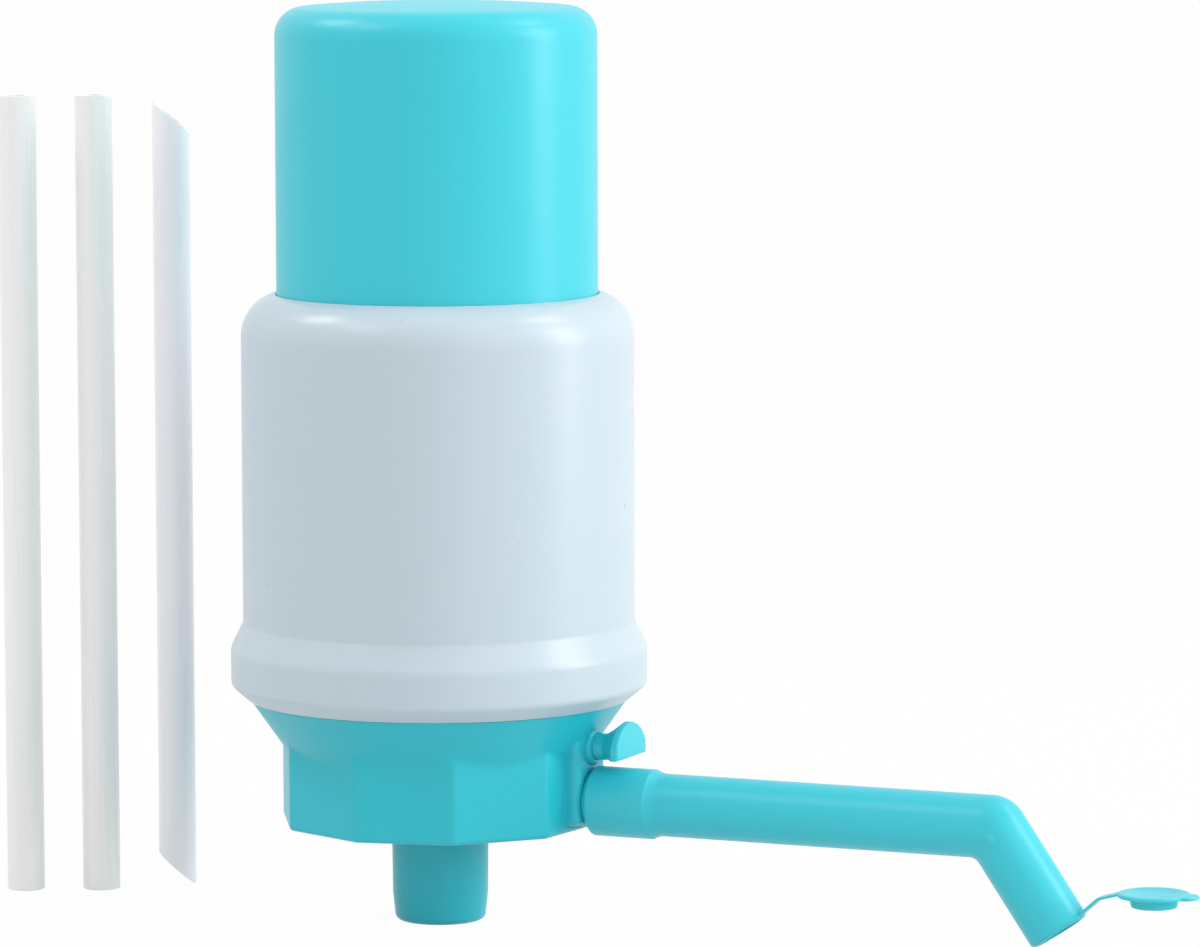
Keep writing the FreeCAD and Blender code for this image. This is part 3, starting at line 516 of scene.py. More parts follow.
@dataclass
class Finishes:
    """Every finish of the pump, made once, in this order."""

    aqua: bpy.types.Material = field(default_factory=MouldedPlastic(
        "aqua_satin_plastic", shade(60, 204, 219), shade(53, 197, 212)).make)
    # A darker copy of the same aqua plastic for the base and the nozzle, which sit low under the flange:
    # painted shade.
    deep_aqua: bpy.types.Material = field(default_factory=MouldedPlastic(
        "deep_aqua_satin_plastic", shade(42, 193, 208), shade(35, 186, 201)).make)
    milky: bpy.types.Material = field(default_factory=MouldedPlastic(
        "milky_plastic", shade(197, 212, 221), shade(191, 207, 217),
        roughness=0.3, grain=0.08, glow=0.2).make)
    tube: bpy.types.Material = field(default_factory=TubeVinyl(
        "clear_vinyl", shade(253, 252, 250), shade(245, 244, 242)).make)
    blue_tube: bpy.types.Material = field(default_factory=TubeVinyl(
        "bluish_vinyl", shade(254, 252, 255), shade(248, 247, 255)).make)
    white: bpy.types.Material = field(default_factory=MouldedPlastic(
        "white_plastic", shade(236, 237, 236), shade(226, 228, 228), roughness=0.5).make)
    bellows: bpy.types.Material = field(default_factory=MouldedPlastic(
        "bellows_plastic", shade(222, 229, 231), shade(208, 217, 221),
        roughness=0.48, glow=0.3).make)
    silicone: bpy.types.Material = field(default_factory=SoftRubber(
        "milky_silicone", shade(222, 224, 220), shade(236, 236, 232), 0.5).make)
    rubber: bpy.types.Material = field(default_factory=SoftRubber(
        "black_rubber", shade(26, 26, 28), shade(70, 70, 72)).make)
    steel: bpy.types.Material = field(default_factory=DrawnSteel(
        "spring_steel", shade(206, 208, 212), shade(150, 152, 156)).make)

    def of(self, slot: Slot) -> bpy.types.Material:
        """The finish with the name of a slot of the record."""
        return getattr(self, slot.name.lower())


# ---------------------------------------------------------------------------------------------
# Outlines and meshes
# ---------------------------------------------------------------------------------------------
def arc(centre: Point, radius: float, start: float, end: float, steps: int = 10) -> list[Point]:
    """Points on an arc.

    Args:
        centre: Centre of the arc.
        radius: Its radius.
        start: Angle of its start, in radians.
        end: Angle of its end, in radians.
        steps: Number of steps.

    Returns:
        The points, ends included.
    """
    turns = [start + (end - start) * step / steps for step in range(steps + 1)]
    return [(centre[0] + radius * math.cos(turn), centre[1] + radius * math.sin(turn)) for turn in turns]


def rounded(corners: Sequence[Sequence[float]], steps: int = 6) -> list[Point]:
    """An open outline with arcs at the corners that give a radius.

    Args:
        corners: Corners as (across, up) or (across, up, radius).
        steps: Steps in each arc.

    Returns:
        The points.
    """
    points: list[Point] = []
    for index, corner in enumerate(corners):
        here = Vector(corner[:2])
        radius = corner[2] if len(corner) > 2 else 0.0
        if radius <= 0.0 or index in (0, len(corners) - 1):
            points.append((here.x, here.y))
            continue
        back = (Vector(corners[index - 1][:2]) - here).normalized()
        ahead = (Vector(corners[index + 1][:2]) - here).normalized()
        half = back.angle(ahead) / 2.0
        centre = here + (back + ahead).normalized() * (radius / math.sin(half))
        first = here + back * (radius / math.tan(half)) - centre
        last = here + ahead * (radius / math.tan(half)) - centre
        start = math.atan2(first.y, first.x)
        turn = math.atan2(first.x * last.y - first.y * last.x, first.dot(last))
        points += arc((centre.x, centre.y), radius, start, start + turn, steps)
    return points


def full_turn(segments: int) -> list[float]:
    """Evenly spaced angles of one full turn."""
    return [FULL_TURN * index / segments for index in range(segments)]


def edge_inset(radius: float, drop: float) -> float:
    """How far a rounded edge draws a wall in, at a drop from where the rounding starts."""
    return radius - math.sqrt(max(radius ** 2 - drop ** 2, 0.0))


def soft_max(first: float, second: float, width: float) -> float:
    """The larger of two values, with the change from one to the other rounded over a width."""
    overlap = max(width - abs(first - second), 0.0) / width
    return max(first, second) + overlap * overlap * width / 4.0


def upright(radius: float, height: float, angle: float) -> Vector:
    """A point at a radius and angle about the Z axis."""
    return Vector((radius * math.cos(angle), radius * math.sin(angle), height))


def level_axis(axis_z: float) -> Callable[[float, float, float], Vector]:
    """Placer for pieces turned about a line along X.

    Args:
        axis_z: Height of the line.

    Returns:
        A function of radius, X and angle.
    """
    return lambda radius, x, angle: Vector((x, radius * math.cos(angle), axis_z + radius * math.sin(angle)))


class Draft:
    """A mesh in the making, from rings of points that are joined into closed shells."""

    def __init__(self) -> None:
        """Start an empty mesh."""
        self.mesh = bmesh.new()

    def skin(self, rings: Sequence[Sequence[Vector]], looped: bool = False) -> None:
        """Join rings of equal length one after another; a ring of one point is a pole.

        Args:
            rings: The rings, in order.
            looped: Whether the last ring joins the first.
        """
        laid = [[self.mesh.verts.new(point) for point in ring] for ring in rings]
        pairs = list(zip(laid, laid[1:]))
        if looped:
            pairs.append((laid[-1], laid[0]))
        for first, second in pairs:
            count = max(len(first), len(second))
            for index in range(count):
                after = (index + 1) % count
                if len(first) == 1:
                    self.mesh.faces.new((first[0], second[index], second[after]))
                elif len(second) == 1:
                    self.mesh.faces.new((first[index], second[0], first[after]))
                else:
                    self.mesh.faces.new((first[index], second[index], second[after], first[after]))

    def turned(self, outline: Sequence[Point], place: Callable[[float, float, float], Vector] = upright,
               segments: int = 192, looped: bool = False) -> None:
        """A turned shell.

        Args:
            outline: Points as (radius, height).
            place: Puts a radius, height and angle in space.
            segments: Steps in the full turn.
            looped: Whether the outline closes on itself.
        """
        angles = full_turn(segments)
        self.skin([[place(radius, height, angle) for angle in angles[:1 if radius < ON_AXIS else None]]
                   for radius, height in outline], looped)

    def take(self, mesh: bpy.types.Mesh) -> None:
        """Take in a finished mesh, back in millimetres."""
        self.mesh.from_mesh(mesh)
        bmesh.ops.scale(self.mesh, vec=(1 / MM, 1 / MM, 1 / MM), verts=self.mesh.verts)

    def finish(self, name: str, sharp_deg: float = 32.0) -> bpy.types.Mesh:
        """Turn the faces outwards, scale to metres and shade smooth up to an angle.

        Args:
            name: Name of the mesh.
            sharp_deg: Edges sharper than this stay sharp.

        Returns:
            The mesh.
        """
        bmesh.ops.recalc_face_normals(self.mesh, faces=self.mesh.faces)
        bmesh.ops.scale(self.mesh, vec=(MM, MM, MM), verts=self.mesh.verts)
        mesh = bpy.data.meshes.new(name)
        self.mesh.to_mesh(mesh)
        self.mesh.free()
        mesh.shade_smooth()
        mesh.set_sharp_from_angle(angle=math.radians(sharp_deg))
        return mesh


def placed(name: str, mesh: bpy.types.Mesh, material: bpy.types.Material) -> bpy.types.Object:
    """Put a mesh in the scene as an object at the origin.

    Args:
        name: Name of the object.
        mesh: Its mesh.
        material: Its only material.

    Returns:
        The object.
    """
    mesh.materials.clear()
    mesh.materials.append(material)
    thing = bpy.data.objects.new(name, mesh)
    bpy.context.scene.collection.objects.link(thing)
    return thing


def applied(thing: bpy.types.Object) -> bpy.types.Mesh:
    """The mesh that an object has with its modifiers, which are then taken off.

    Args:
        thing: The object.

    Returns:
        The new mesh, which the object also takes.
    """
    bpy.context.view_layer.update()
    graph = bpy.context.evaluated_depsgraph_get()
    mesh = bpy.data.meshes.new_from_object(thing.evaluated_get(graph), preserve_all_data_layers=True,
                                           depsgraph=graph)
    thing.modifiers.clear()
    thing.data = mesh
    return mesh


@dataclass
class Piece:
    """A finished piece and what it belongs to."""

    thing: bpy.types.Object
    body: Body
    slot: Slot
    stands_for: tuple[str, ...] = ()

    def fit(self) -> None:
        """Hand the piece to the frame."""
        if self.stands_for:
            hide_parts(*self.stands_for)
        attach(self.thing, self.body.value)
        log.info("piece %s rides on %s, %d faces", self.thing.name, self.body.value,
                 len(self.thing.data.polygons))


@dataclass(frozen=True)
class Label:
    """What a piece is called, takes as its finish, rides on and stands for."""

    name: str
    finish: str
    body: Body
    slot: Slot
    stands_for: tuple[str, ...]


class Moulding:
    """A part that is drawn as one piece; each kind says its label and how it is drawn."""

    label: Label

    def draw(self) -> Draft:
        """Draw the part in millimetres."""
        raise NotImplementedError

    def build(self, finishes: Finishes) -> Iterable[Piece]:
        """Make the part.

        Args:
            finishes: The finishes.

        Returns:
            The piece.
        """
        label = self.label
        thing = placed(label.name, self.draw().finish(label.name), getattr(finishes, label.finish))
        return [Piece(thing, label.body, label.slot, label.stands_for)]


# ---------------------------------------------------------------------------------------------
# Cap and housing
# ---------------------------------------------------------------------------------------------
@dataclass
class PushCap(Moulding):
    """The cap that the hand presses."""

    label: ClassVar[Label] = Label("push_cap_shell", "aqua", Body.CAP, Slot.AQUA, ("push_cap",))

    radius: float = 33.55
    wall: float = 1.8
    side_rows: Point = (150.0, 130.0)
    foot_row: float = 112.0
    stop_rounds: Point = (0.25, 0.2)
    foot_round: float = 0.3
    top_z: float = 172.0
    crown_r: float = 350.0
    edge_round: float = 6.0
    stop_z: float = 106.9
    stop_r: float = 35.6
    guide_r: float = 38.8
    guide_z: float = 103.4
    foot_z: float = 101.8

    def crown(self, inset: float) -> list[Point]:
        """The crowned top and its rounded edge.

        Args:
            inset: 0 for the outside, the wall for the inside.

        Returns:
            Points from the axis to the wall.
        """
        crown_r = self.crown_r - inset
        edge = self.edge_round - inset
        top = self.top_z - inset
        centre_r = self.radius - self.edge_round
        lean = math.asin(centre_r / (crown_r - edge))
        centre_z = top - crown_r + (crown_r - edge) * math.cos(lean)
        dome = arc((0.0, top - crown_r), crown_r, QUARTER, QUARTER - lean, 14)
        return [(0.0, top)] + dome[1:-1] + arc((centre_r, centre_z), edge, QUARTER - lean, 0.0, 16)

    def draw(self) -> Draft:
        """Draw the cap.

        Returns:
            The draft.
        """
        inner_r = self.radius - self.wall
        sides = [(self.radius, height) for height in self.side_rows]
        inside, outside = self.stop_rounds
        foot = rounded([
            (self.radius, self.foot_row), (self.radius, self.stop_z, inside),
            (self.stop_r, self.stop_z, outside), (self.guide_r, self.guide_z, self.foot_round),
            (self.guide_r, self.foot_z, self.foot_round), (inner_r, self.foot_z, self.foot_round),
            (inner_r, self.foot_row),
        ], 4)
        draft = Draft()
        draft.turned(self.crown(0.0) + sides + foot + self.crown(self.wall)[::-1], segments=224)
        return draft


@dataclass
class Housing(Moulding):
    """The milky casing with its shoulder and flange."""

    label: ClassVar[Label] = Label("housing_shell", "milky", Body.BASE, Slot.MILKY, ("pump_housing",))

    opening_r: float = 33.66
    top_z: float = 111.4
    shoulder: Point = (41.0, 109.45)
    shoulder_round: float = 9.2
    wall: float = 1.8
    guide_r: float = 35.85
    guide_z: float = 107.2
    flange_top_z: float = 42.6
    flange: Point = (43.6, 37.2)
    foot_z: float = 26.5
    bevel_h: float = 3.0
    bevel_r: float = 40.2
    lip_r: float = 38.9
    lip_top_z: float = 29.35
    opening_round: float = 0.35
    flange_rounds: Point = (1.2, 3.5)
    bevel_rounds: Point = (1.8, 0.5)

    def draw(self) -> Draft:
        """Draw the housing.

        Returns:
            The draft.
        """
        outer_r, shoulder_z = self.shoulder
        flange_r, flange_z = self.flange
        inner_r = outer_r - self.wall
        cavity_r = flange_r - self.wall
        inner_round = self.shoulder_round - self.wall
        slope = (self.top_z - shoulder_z) / (outer_r - self.opening_r)
        round_reach = self.shoulder_round * math.tan((QUARTER - math.atan(slope)) / 2)
        bend_z = shoulder_z - round_reach
        hollow, swell = self.flange_rounds
        heel, toe = self.bevel_rounds
        outside = rounded([
            (self.opening_r, self.guide_z), (self.opening_r, self.top_z, self.opening_round),
            (outer_r, shoulder_z, self.shoulder_round), (outer_r, self.flange_top_z, hollow),
            (flange_r, flange_z, swell), (flange_r, self.foot_z + self.bevel_h, heel),
            (self.bevel_r, self.foot_z, toe), (self.lip_r, self.foot_z), (self.lip_r, self.lip_top_z),
            (cavity_r, self.lip_top_z), (cavity_r, flange_z),
            (inner_r, self.flange_top_z), (inner_r, bend_z),
        ], 12)
        guide_turn = math.acos((self.guide_r - inner_r + inner_round) / inner_round)
        inside = arc((inner_r - inner_round, bend_z), inner_round, 0.0, guide_turn)
        draft = Draft()
        draft.turned(outside + inside[1:] + [(self.guide_r, self.guide_z)], segments=256, looped=True)
        return draft


# ---------------------------------------------------------------------------------------------
# Base and nozzle
# ---------------------------------------------------------------------------------------------
@dataclass
class Base(Moulding):
    """The moulded base: ten-sided collar, cone, skirt, hub, spout block, stub and vent guide."""

    # Its finish is the darker copy of the aqua plastic, with painted shade.
    label: ClassVar[Label] = Label("base_moulding", "deep_aqua", Body.BASE, Slot.AQUA,
                                   ("base_adaptor", "neck_collar", "nozzle_hub", "spout_stub"))

    sides: int = 10
    corner_r: float = 34.0
    turn_deg: float = -6.3
    corner_round: float = 2.2
    foot_round: float = 1.0
    neck_bore_r: float = 28.0
    neck_depth: float = 9.6
    cone_r: float = 39.75
    cone_z: float = 26.45
    cone_slope: float = 0.70
    block_x: float = 35.0
    block_half_w: float = 7.0
    block_z: float = 1.5
    block_round: float = 1.7
    spout_z: float = 6.4
    vent_z: float = 17.8
    air_hole_r: float = 2.0
    air_hole_ring_r: float = 13.6
    blend_w: float = 0.5
    wall_rows: tuple[float, ...] = (4.0, 6.4, 9.0, 11.5, 13.5)
    meet_z: float = 14.6
    meet_step: float = 0.16
    meet_rows: int = 42
    cone_rows: tuple[float, ...] = (22.2, 23.4, 24.6)
    mouth_chamfer: float = 0.8
    hub_r: float = 10.2
    hub_top_r: float = 8.0
    hub_top_z: float = 14.8
    hub_foot_z: float = 3.0
    seat_r: float = 6.58
    seat_z: float = 10.6
    well_r: float = 4.0
    well_z: float = 13.8
    deck_r: float = 30.0
    deck_z: float = 11.6
    skirt_r: float = 38.6
    skirt_top_z: float = 39.6
    skirt_bore_r: float = 36.8
    snap_r: float = 39.5
    snap_z: float = 29.65
    snap_h: float = 1.6
    bead: Point = (36.3, 38.6)
    bead_h: float = 0.5
    ledge_r: float = 34.4
    ledge_z: float = 33.0
    ledge_t: float = 2.0
    cone_bore_z: float = 24.31
    stub_r: float = 5.7
    stub_bore_r: float = 4.0
    stub_end_x: float = 49.4
    groove_r: float = 4.78
    groove: Point = (41.0, 42.0)
    snap_ring_r: float = 6.2
    wall_x: float = 33.5
    guide_r: float = 3.98
    guide_bore_r: float = 2.83
    guide_rod_r: float = 1.7
    guide_span: Point = (27.5, 36.2)
    guide_seat_x: float = 30.5
    guide_rounds: Point = (0.8, 0.1)
    channel_half_w: float = 4.2
    channel_z: Point = (9.8, 14.8)
    channel_chamfer: float = 0.3
    channel_span: Point = (4.0, 33.4)

    def collar_reach(self, angle: float, z: float) -> float:
        """Radius of the ten-sided collar in a direction.

        Args:
            angle: Direction, in radians.
            z: Height.

        Returns:
            The radius.
        """
        pitch = FULL_TURN / self.sides
        facet = abs((angle - math.radians(self.turn_deg) + pitch / 2) % pitch - pitch / 2)
        inset = edge_inset(self.foot_round, max(self.foot_round - z, 0.0))
        flat = self.corner_r * math.cos(pitch / 2)
        centre_across = (flat - self.corner_round) * math.tan(pitch / 2)
        radius = (flat - inset) / math.cos(facet)
        if radius * math.sin(facet) <= centre_across:
            return radius
        centre = (flat - self.corner_round) / math.cos(pitch / 2)
        off = pitch / 2 - facet
        arm = self.corner_round - inset
        return centre * math.cos(off) + math.sqrt(max(arm ** 2 - (centre * math.sin(off)) ** 2, 0.0))

    def block_reach(self, angle: float, z: float) -> float:
        """Radius of the spout block in a direction, or 0 away from it.

        Args:
            angle: Direction, in radians.
            z: Height.

        Returns:
            The radius.
        """
        side = abs((angle + math.pi) % FULL_TURN - math.pi)
        if side > 0.5:
            return 0.0
        inset = edge_inset(self.block_round, max(self.block_z + self.block_round - z, 0.0))
        face = self.block_x - inset
        half_w = self.block_half_w - inset
        edge = self.block_round
        if face * math.tan(side) <= half_w - edge:
            return face / math.cos(side)
        if half_w / math.sin(side) * math.cos(side) <= face - edge:
            return half_w / math.sin(side)
        centre = Vector((face - edge, half_w - edge))
        along = centre.dot(Vector((math.cos(side), math.sin(side))))
        return along + math.sqrt(max(along ** 2 - centre.length_squared + edge ** 2, 0.0))

    def columns(self) -> list[float]:
        """Directions of the mesh's columns: close at the collar's corners and the block's sides.

        Returns:
            The angles in radians, in order.
        """
        corner_step, corner_steps = 0.25, 10
        block_start, block_step, block_steps = 9.4, 0.1, 37
        least_gap = 0.06
        steps = {float(index) for index in range(360)}
        for corner in range(self.sides):
            middle = self.turn_deg + (corner + 0.5) * 360.0 / self.sides
            steps |= {round((middle + off * corner_step) % 360.0, 3)
                      for off in range(-corner_steps, corner_steps + 1)}
        for off in range(block_steps):
            side = block_start + off * block_step
            steps |= {round(side, 3), round(360.0 - side, 3)}
        ordered = sorted(steps)
        kept = [ordered[0]]
        for step in ordered[1:]:
            if step - kept[-1] > least_gap:
                kept.append(step)
        return [math.radians(step) for step in kept]

    def levels(self) -> list[tuple[float, bool]]:
        """Heights of the outer rings.

        Returns:
            Each height, and whether its ring has the block.
        """
        rises = [1 - math.cos(QUARTER * step / 6) for step in range(7)]
        foot = [(self.foot_round * rise, False) for rise in rises]
        under = [(self.block_z, False), (self.block_z, True)]
        edge = [(self.block_z + self.block_round * rise, True) for rise in rises[1:]]
        wall = [(z, True) for z in self.wall_rows]
        meet = [(self.meet_z + self.meet_step * step, True) for step in range(self.meet_rows)]
        cone = [(z, True) for z in (*self.cone_rows, self.cone_z - 0.25)]
        return foot + under + edge + wall + meet + cone

    def shell(self, name: str) -> bpy.types.Mesh:
        """The collar, cone, skirt, deck and hub as one closed mesh, with the air holes cut.

        Args:
            name: Name of the mesh.

        Returns:
            The mesh.
        """
        columns = self.columns()
        below = [
            (0.0, self.well_z), (self.well_r, self.well_z), (self.well_r, self.seat_z),
            (self.seat_r, self.seat_z), (self.seat_r, self.hub_foot_z), (self.hub_r - 0.2, self.hub_foot_z),
            (self.hub_r, self.hub_foot_z + 0.2), (self.hub_r, self.neck_depth),
            (self.neck_bore_r, self.neck_depth), (self.neck_bore_r, self.mouth_chamfer),
            (self.neck_bore_r + self.mouth_chamfer, 0.0),
        ]
        bore, bead_z = self.skirt_bore_r, self.bead[1]
        ramp_z = self.ledge_z - self.ledge_t
        inner = [
            (self.cone_r - 0.05, self.cone_z - 0.08), (self.cone_r - 0.2, self.cone_z),
            (self.skirt_r, self.cone_z), (self.skirt_r, self.snap_z), (self.snap_r, self.snap_z),
            (self.skirt_r, self.snap_z + self.snap_h), (self.skirt_r, self.skirt_top_z),
            (bore, self.skirt_top_z), self.bead, (bore, bead_z - self.bead_h),
            (bore, self.ledge_z), (self.ledge_r, self.ledge_z), (self.ledge_r, ramp_z),
            (bore, ramp_z - (bore - self.ledge_r)), (bore, self.cone_bore_z),
            (self.deck_r, self.deck_z + 3.0), (self.deck_r, self.deck_z), (self.hub_top_r, self.deck_z),
            (self.hub_top_r, self.hub_top_z), (0.0, self.hub_top_z),
        ]

        def circle(radius: float, z: float) -> list[Vector]:
            """A round ring on the columns, or a pole."""
            return [upright(radius, z, angle) for angle in columns[:1 if radius < ON_AXIS else None]]

        rings = [circle(radius, z) for radius, z in below]
        for z, with_block in self.levels():
            cone = self.cone_r - self.cone_slope * (self.cone_z - z)
            ring = []
            for angle in columns:
                reach = soft_max(self.collar_reach(angle, z), cone, self.blend_w)
                if with_block:
                    reach = max(reach, soft_max(self.block_reach(angle, z), cone, self.blend_w))
                ring.append(upright(reach, z, angle))
            rings.append(ring)
        rings += [circle(radius, z) for radius, z in inner]
        draft = Draft()
        draft.skin(rings)
        body = placed(name, draft.finish(name), bpy.data.materials[0])
        drill = Draft()
        low, high = self.neck_depth - 0.6, self.deck_z + 0.8
        for turn in full_turn(4):
            middle = upright(self.air_hole_ring_r, 0.0, turn + QUARTER / 2)
            drill.turned([(0.0, low), (self.air_hole_r, low), (self.air_hole_r, high), (0.0, high)],
                         lambda radius, z, angle, at=middle: at + upright(radius, z, angle), 32)
        cutter = placed(name + "_drill", drill.finish("drill"), bpy.data.materials[0])
        cut = body.modifiers.new("air_holes", "BOOLEAN")
        cut.operation = "DIFFERENCE"
        cut.solver = "EXACT"
        cut.object = cutter
        mesh = applied(body)
        bpy.data.objects.remove(body)
        bpy.data.objects.remove(cutter)
        return mesh

    def draw(self) -> Draft:
        """Draw the base.

        Returns:
            The draft.
        """
        draft = Draft()
        draft.take(self.shell("base_shell"))
        end_x = self.stub_end_x
        groove_low, groove_high = self.groove
        stub = rounded([
            (self.stub_bore_r, self.wall_x), (self.stub_r, self.wall_x), (self.stub_r, groove_low),
            (self.groove_r, groove_low), (self.groove_r, groove_high), (self.stub_r, groove_high),
            (self.stub_r, end_x - 1.5), (self.snap_ring_r, end_x - 1.0), (self.snap_ring_r, end_x - 0.5),
            (self.stub_r, end_x, 0.2), (self.stub_bore_r, end_x, 0.2), (self.stub_bore_r, self.wall_x),
        ], 3)[:-1]
        draft.turned(stub, level_axis(self.spout_z), 96, looped=True)
        root_x, tip_x = self.guide_span
        rim, lip = self.guide_rounds
        guide = rounded([
            (self.guide_rod_r, root_x), (self.guide_r, root_x), (self.guide_r, tip_x, rim),
            (self.guide_bore_r, tip_x, lip), (self.guide_bore_r, self.guide_seat_x),
            (self.guide_rod_r, self.guide_seat_x), (self.guide_rod_r, root_x),
        ], 4)[:-1]
        draft.turned(guide, level_axis(self.vent_z), 96, looped=True)
        half_w, chamfer = self.channel_half_w, self.channel_chamfer
        low, high = self.channel_z
        rib = [(half_w, low), (half_w, high - chamfer), (half_w - chamfer, high),
               (chamfer - half_w, high), (-half_w, high - chamfer), (-half_w, low)]
        rings = [[Vector((x, y, z)) for y, z in rib] for x in self.channel_span]
        poles = [[Vector((x, 0.0, (low + high) / 2))] for x in self.channel_span]
        draft.skin([poles[0], *rings, poles[1]])
        return draft


@dataclass
class Nozzle(Moulding):
    """The stub under the base that takes a suction tube."""

    # Its finish is the darker copy of the aqua plastic, with painted shade.
    label: ClassVar[Label] = Label("nozzle_body", "deep_aqua", Body.BASE, Slot.AQUA, ("suction_nozzle",))

    bottom_z: float = -20.9
    top_z: float = 2.95
    top_r: float = 10.2
    waist: Point = (10.0, -15.0)
    foot_r: float = 9.4
    foot_round: float = 1.4
    socket_r: float = 4.05
    socket_depth: float = 18.0
    mouth_chamfer: float = 0.4
    neck_r: float = 6.5
    neck_top_z: float = 10.1
    groove_r: float = 5.28
    groove: Point = (5.7, 7.0)
    water_r: float = 3.0
    top_round: float = 0.25
    neck_round: float = 0.2

    def draw(self) -> Draft:
        """Draw the nozzle.

        Returns:
            The draft.
        """
        socket_z = self.bottom_z + self.socket_depth
        groove_low, groove_high = self.groove
        outline = rounded([
            (self.socket_r, self.bottom_z + self.mouth_chamfer),
            (self.socket_r + self.mouth_chamfer, self.bottom_z),
            (self.foot_r, self.bottom_z, self.foot_round), self.waist,
            (self.top_r, self.top_z, self.top_round), (self.neck_r, self.top_z),
            (self.neck_r, groove_low), (self.groove_r, groove_low),
            (self.groove_r, groove_high), (self.neck_r, groove_high),
            (self.neck_r, self.neck_top_z, self.neck_round),
            (self.water_r, self.neck_top_z, self.neck_round),
            (self.water_r, socket_z), (self.socket_r, socket_z),
        ], 8)
        draft = Draft()
        draft.turned(outline, segments=128, looped=True)
        return draft


# ---------------------------------------------------------------------------------------------
# Spout and lid
# ---------------------------------------------------------------------------------------------
@dataclass
class Spout(Moulding):
    """The swivelling spout: sleeve, straight leg, bend and mouth leg."""

    label: ClassVar[Label] = Label("spout_moulding", "aqua", Body.SPOUT, Slot.AQUA,
                                   ("spout_tube", "spout_elbow"))

    axis_z: float = 6.4
    start_x: float = 35.08
    sleeve_r: float = 7.25
    sleeve_chamfer: float = 1.2
    sleeve_end_x: float = 49.1
    sleeve_taper: float = 2.1
    sleeve_rounds: tuple[float, float, float] = (0.5, 0.3, 0.8)
    sleeve_step: Point = (0.3, 0.4)
    radius: float = 6.5
    bore_r: float = 5.1
    elbow_x: float = 123.9
    bend_deg: float = 55.3
    bend_r: float = 7.5
    heel_round: float = 7.6
    crook_round: float = 2.7
    mark_way: float = 2.3
    mark_r: float = 1.35
    mark_h: float = 0.32
    mark_steepness: float = 2.5
    mouth_leg: float = 25.2
    mouth_round: float = 1.0
    mouth_chamfer: float = 0.15
    socket_r: float = 5.78
    snap_r: float = 6.28
    snap_x: Point = (48.1, 49.7)
    leg_rows: tuple[float, ...] = (-55.0, -40.0, -25.0, -12.0, -5.0, -2.0)
    bore_rows: Point = (-5.0, -40.0)
    mouth_rows: tuple[float, ...] = (2.0, 4.0, 8.0)
    elbow_steps: int = 24
    settle_steps: int = 12
    bore_steps: int = 20

    @property
    def down(self) -> float:
        """Angle of the bend, in radians."""
        return math.radians(self.bend_deg)

    @property
    def reach(self) -> float:
        """Distance from either end of the bend to its corner."""
        return self.bend_r * math.tan(self.down / 2)

    @property
    def corner(self) -> Vector:
        """Where the middle lines of the two legs meet."""
        return Vector((self.elbow_x, 0.0, self.axis_z))

    @property
    def mouth_axis(self) -> Vector:
        """Direction in which the water leaves."""
        return Vector((math.cos(self.down), 0.0, -math.sin(self.down)))

    @property
    def mouth_across(self) -> Vector:
        """Direction across the mouth, away from the pump."""
        return Vector((math.sin(self.down), 0.0, math.cos(self.down)))

    @property
    def mouth(self) -> Vector:
        """Centre of the mouth."""
        return self.corner + self.mouth_axis * self.mouth_leg

    def station(self, travel: float) -> tuple[Vector, Vector]:
        """Place and direction on the spout's middle line.

        Args:
            travel: Distance along it; 0 is the start of the bend, negative is the straight leg.

        Returns:
            The point and the direction.
        """
        bend_start = self.corner - FORWARD * self.reach
        if travel <= 0.0:
            return bend_start + FORWARD * travel, FORWARD
        if travel < self.bend_r * self.down:
            turn = travel / self.bend_r
            pivot = bend_start - UP * self.bend_r
            return (pivot + Vector((math.sin(turn), 0.0, math.cos(turn))) * self.bend_r,
                    Vector((math.cos(turn), 0.0, -math.sin(turn))))
        over = travel - self.bend_r * self.down
        return self.corner + self.mouth_axis * (self.reach + over), self.mouth_axis

    def ring(self, travel: float, radius: float, segments: int = 144) -> list[Vector]:
        """A round section of the spout.

        Args:
            travel: Where, as for station.
            radius: Radius of the section.
            segments: Points in it.

        Returns:
            The points.
        """
        middle, along = self.station(travel)
        up = along.cross(SIDE)
        return [middle + (SIDE * math.cos(turn) + up * math.sin(turn)) * radius
                for turn in full_turn(segments)]

    def elbow_ring(self, share: float, segments: int = 144) -> list[Vector]:
        """A section of the elbow, which is rounded more on its outside than on its inside.

        Args:
            share: Share of the bend behind the section.
            segments: Points in the section.

        Returns:
            The points.
        """
        half = self.down / 2
        bend = 2 * half * share
        mitre = Vector((math.sin(half), 0.0, math.cos(half))) / math.cos(half)
        ray = Vector((math.sin(bend), 0.0, math.cos(bend)))
        mean = (self.heel_round + self.crook_round) / 2
        spread = (self.heel_round - self.crook_round) / 2
        middle = self.corner + (ray - mitre) * mean
        up = mitre * (self.radius - spread) + ray * spread
        side = SIDE * self.radius
        return [middle + side * math.cos(turn) + up * math.sin(turn) for turn in full_turn(segments)]

    def raise_mark(self, rings: list[list[Vector]]) -> None:
        """Raise the small round gate mark on the side of the elbow.

        Args:
            rings: The sections that it lies on, which are changed.
        """
        out = -SIDE
        spot = self.corner + self.mouth_axis * self.mark_way + out * self.radius
        for ring in rings:
            for index, point in enumerate(ring):
                share = (1.0 - (point - spot).length / self.mark_r) * self.mark_steepness
                share = min(max(share, 0.0), 1.0)
                ring[index] = point + out * (self.mark_h * share * share * (3.0 - 2.0 * share))

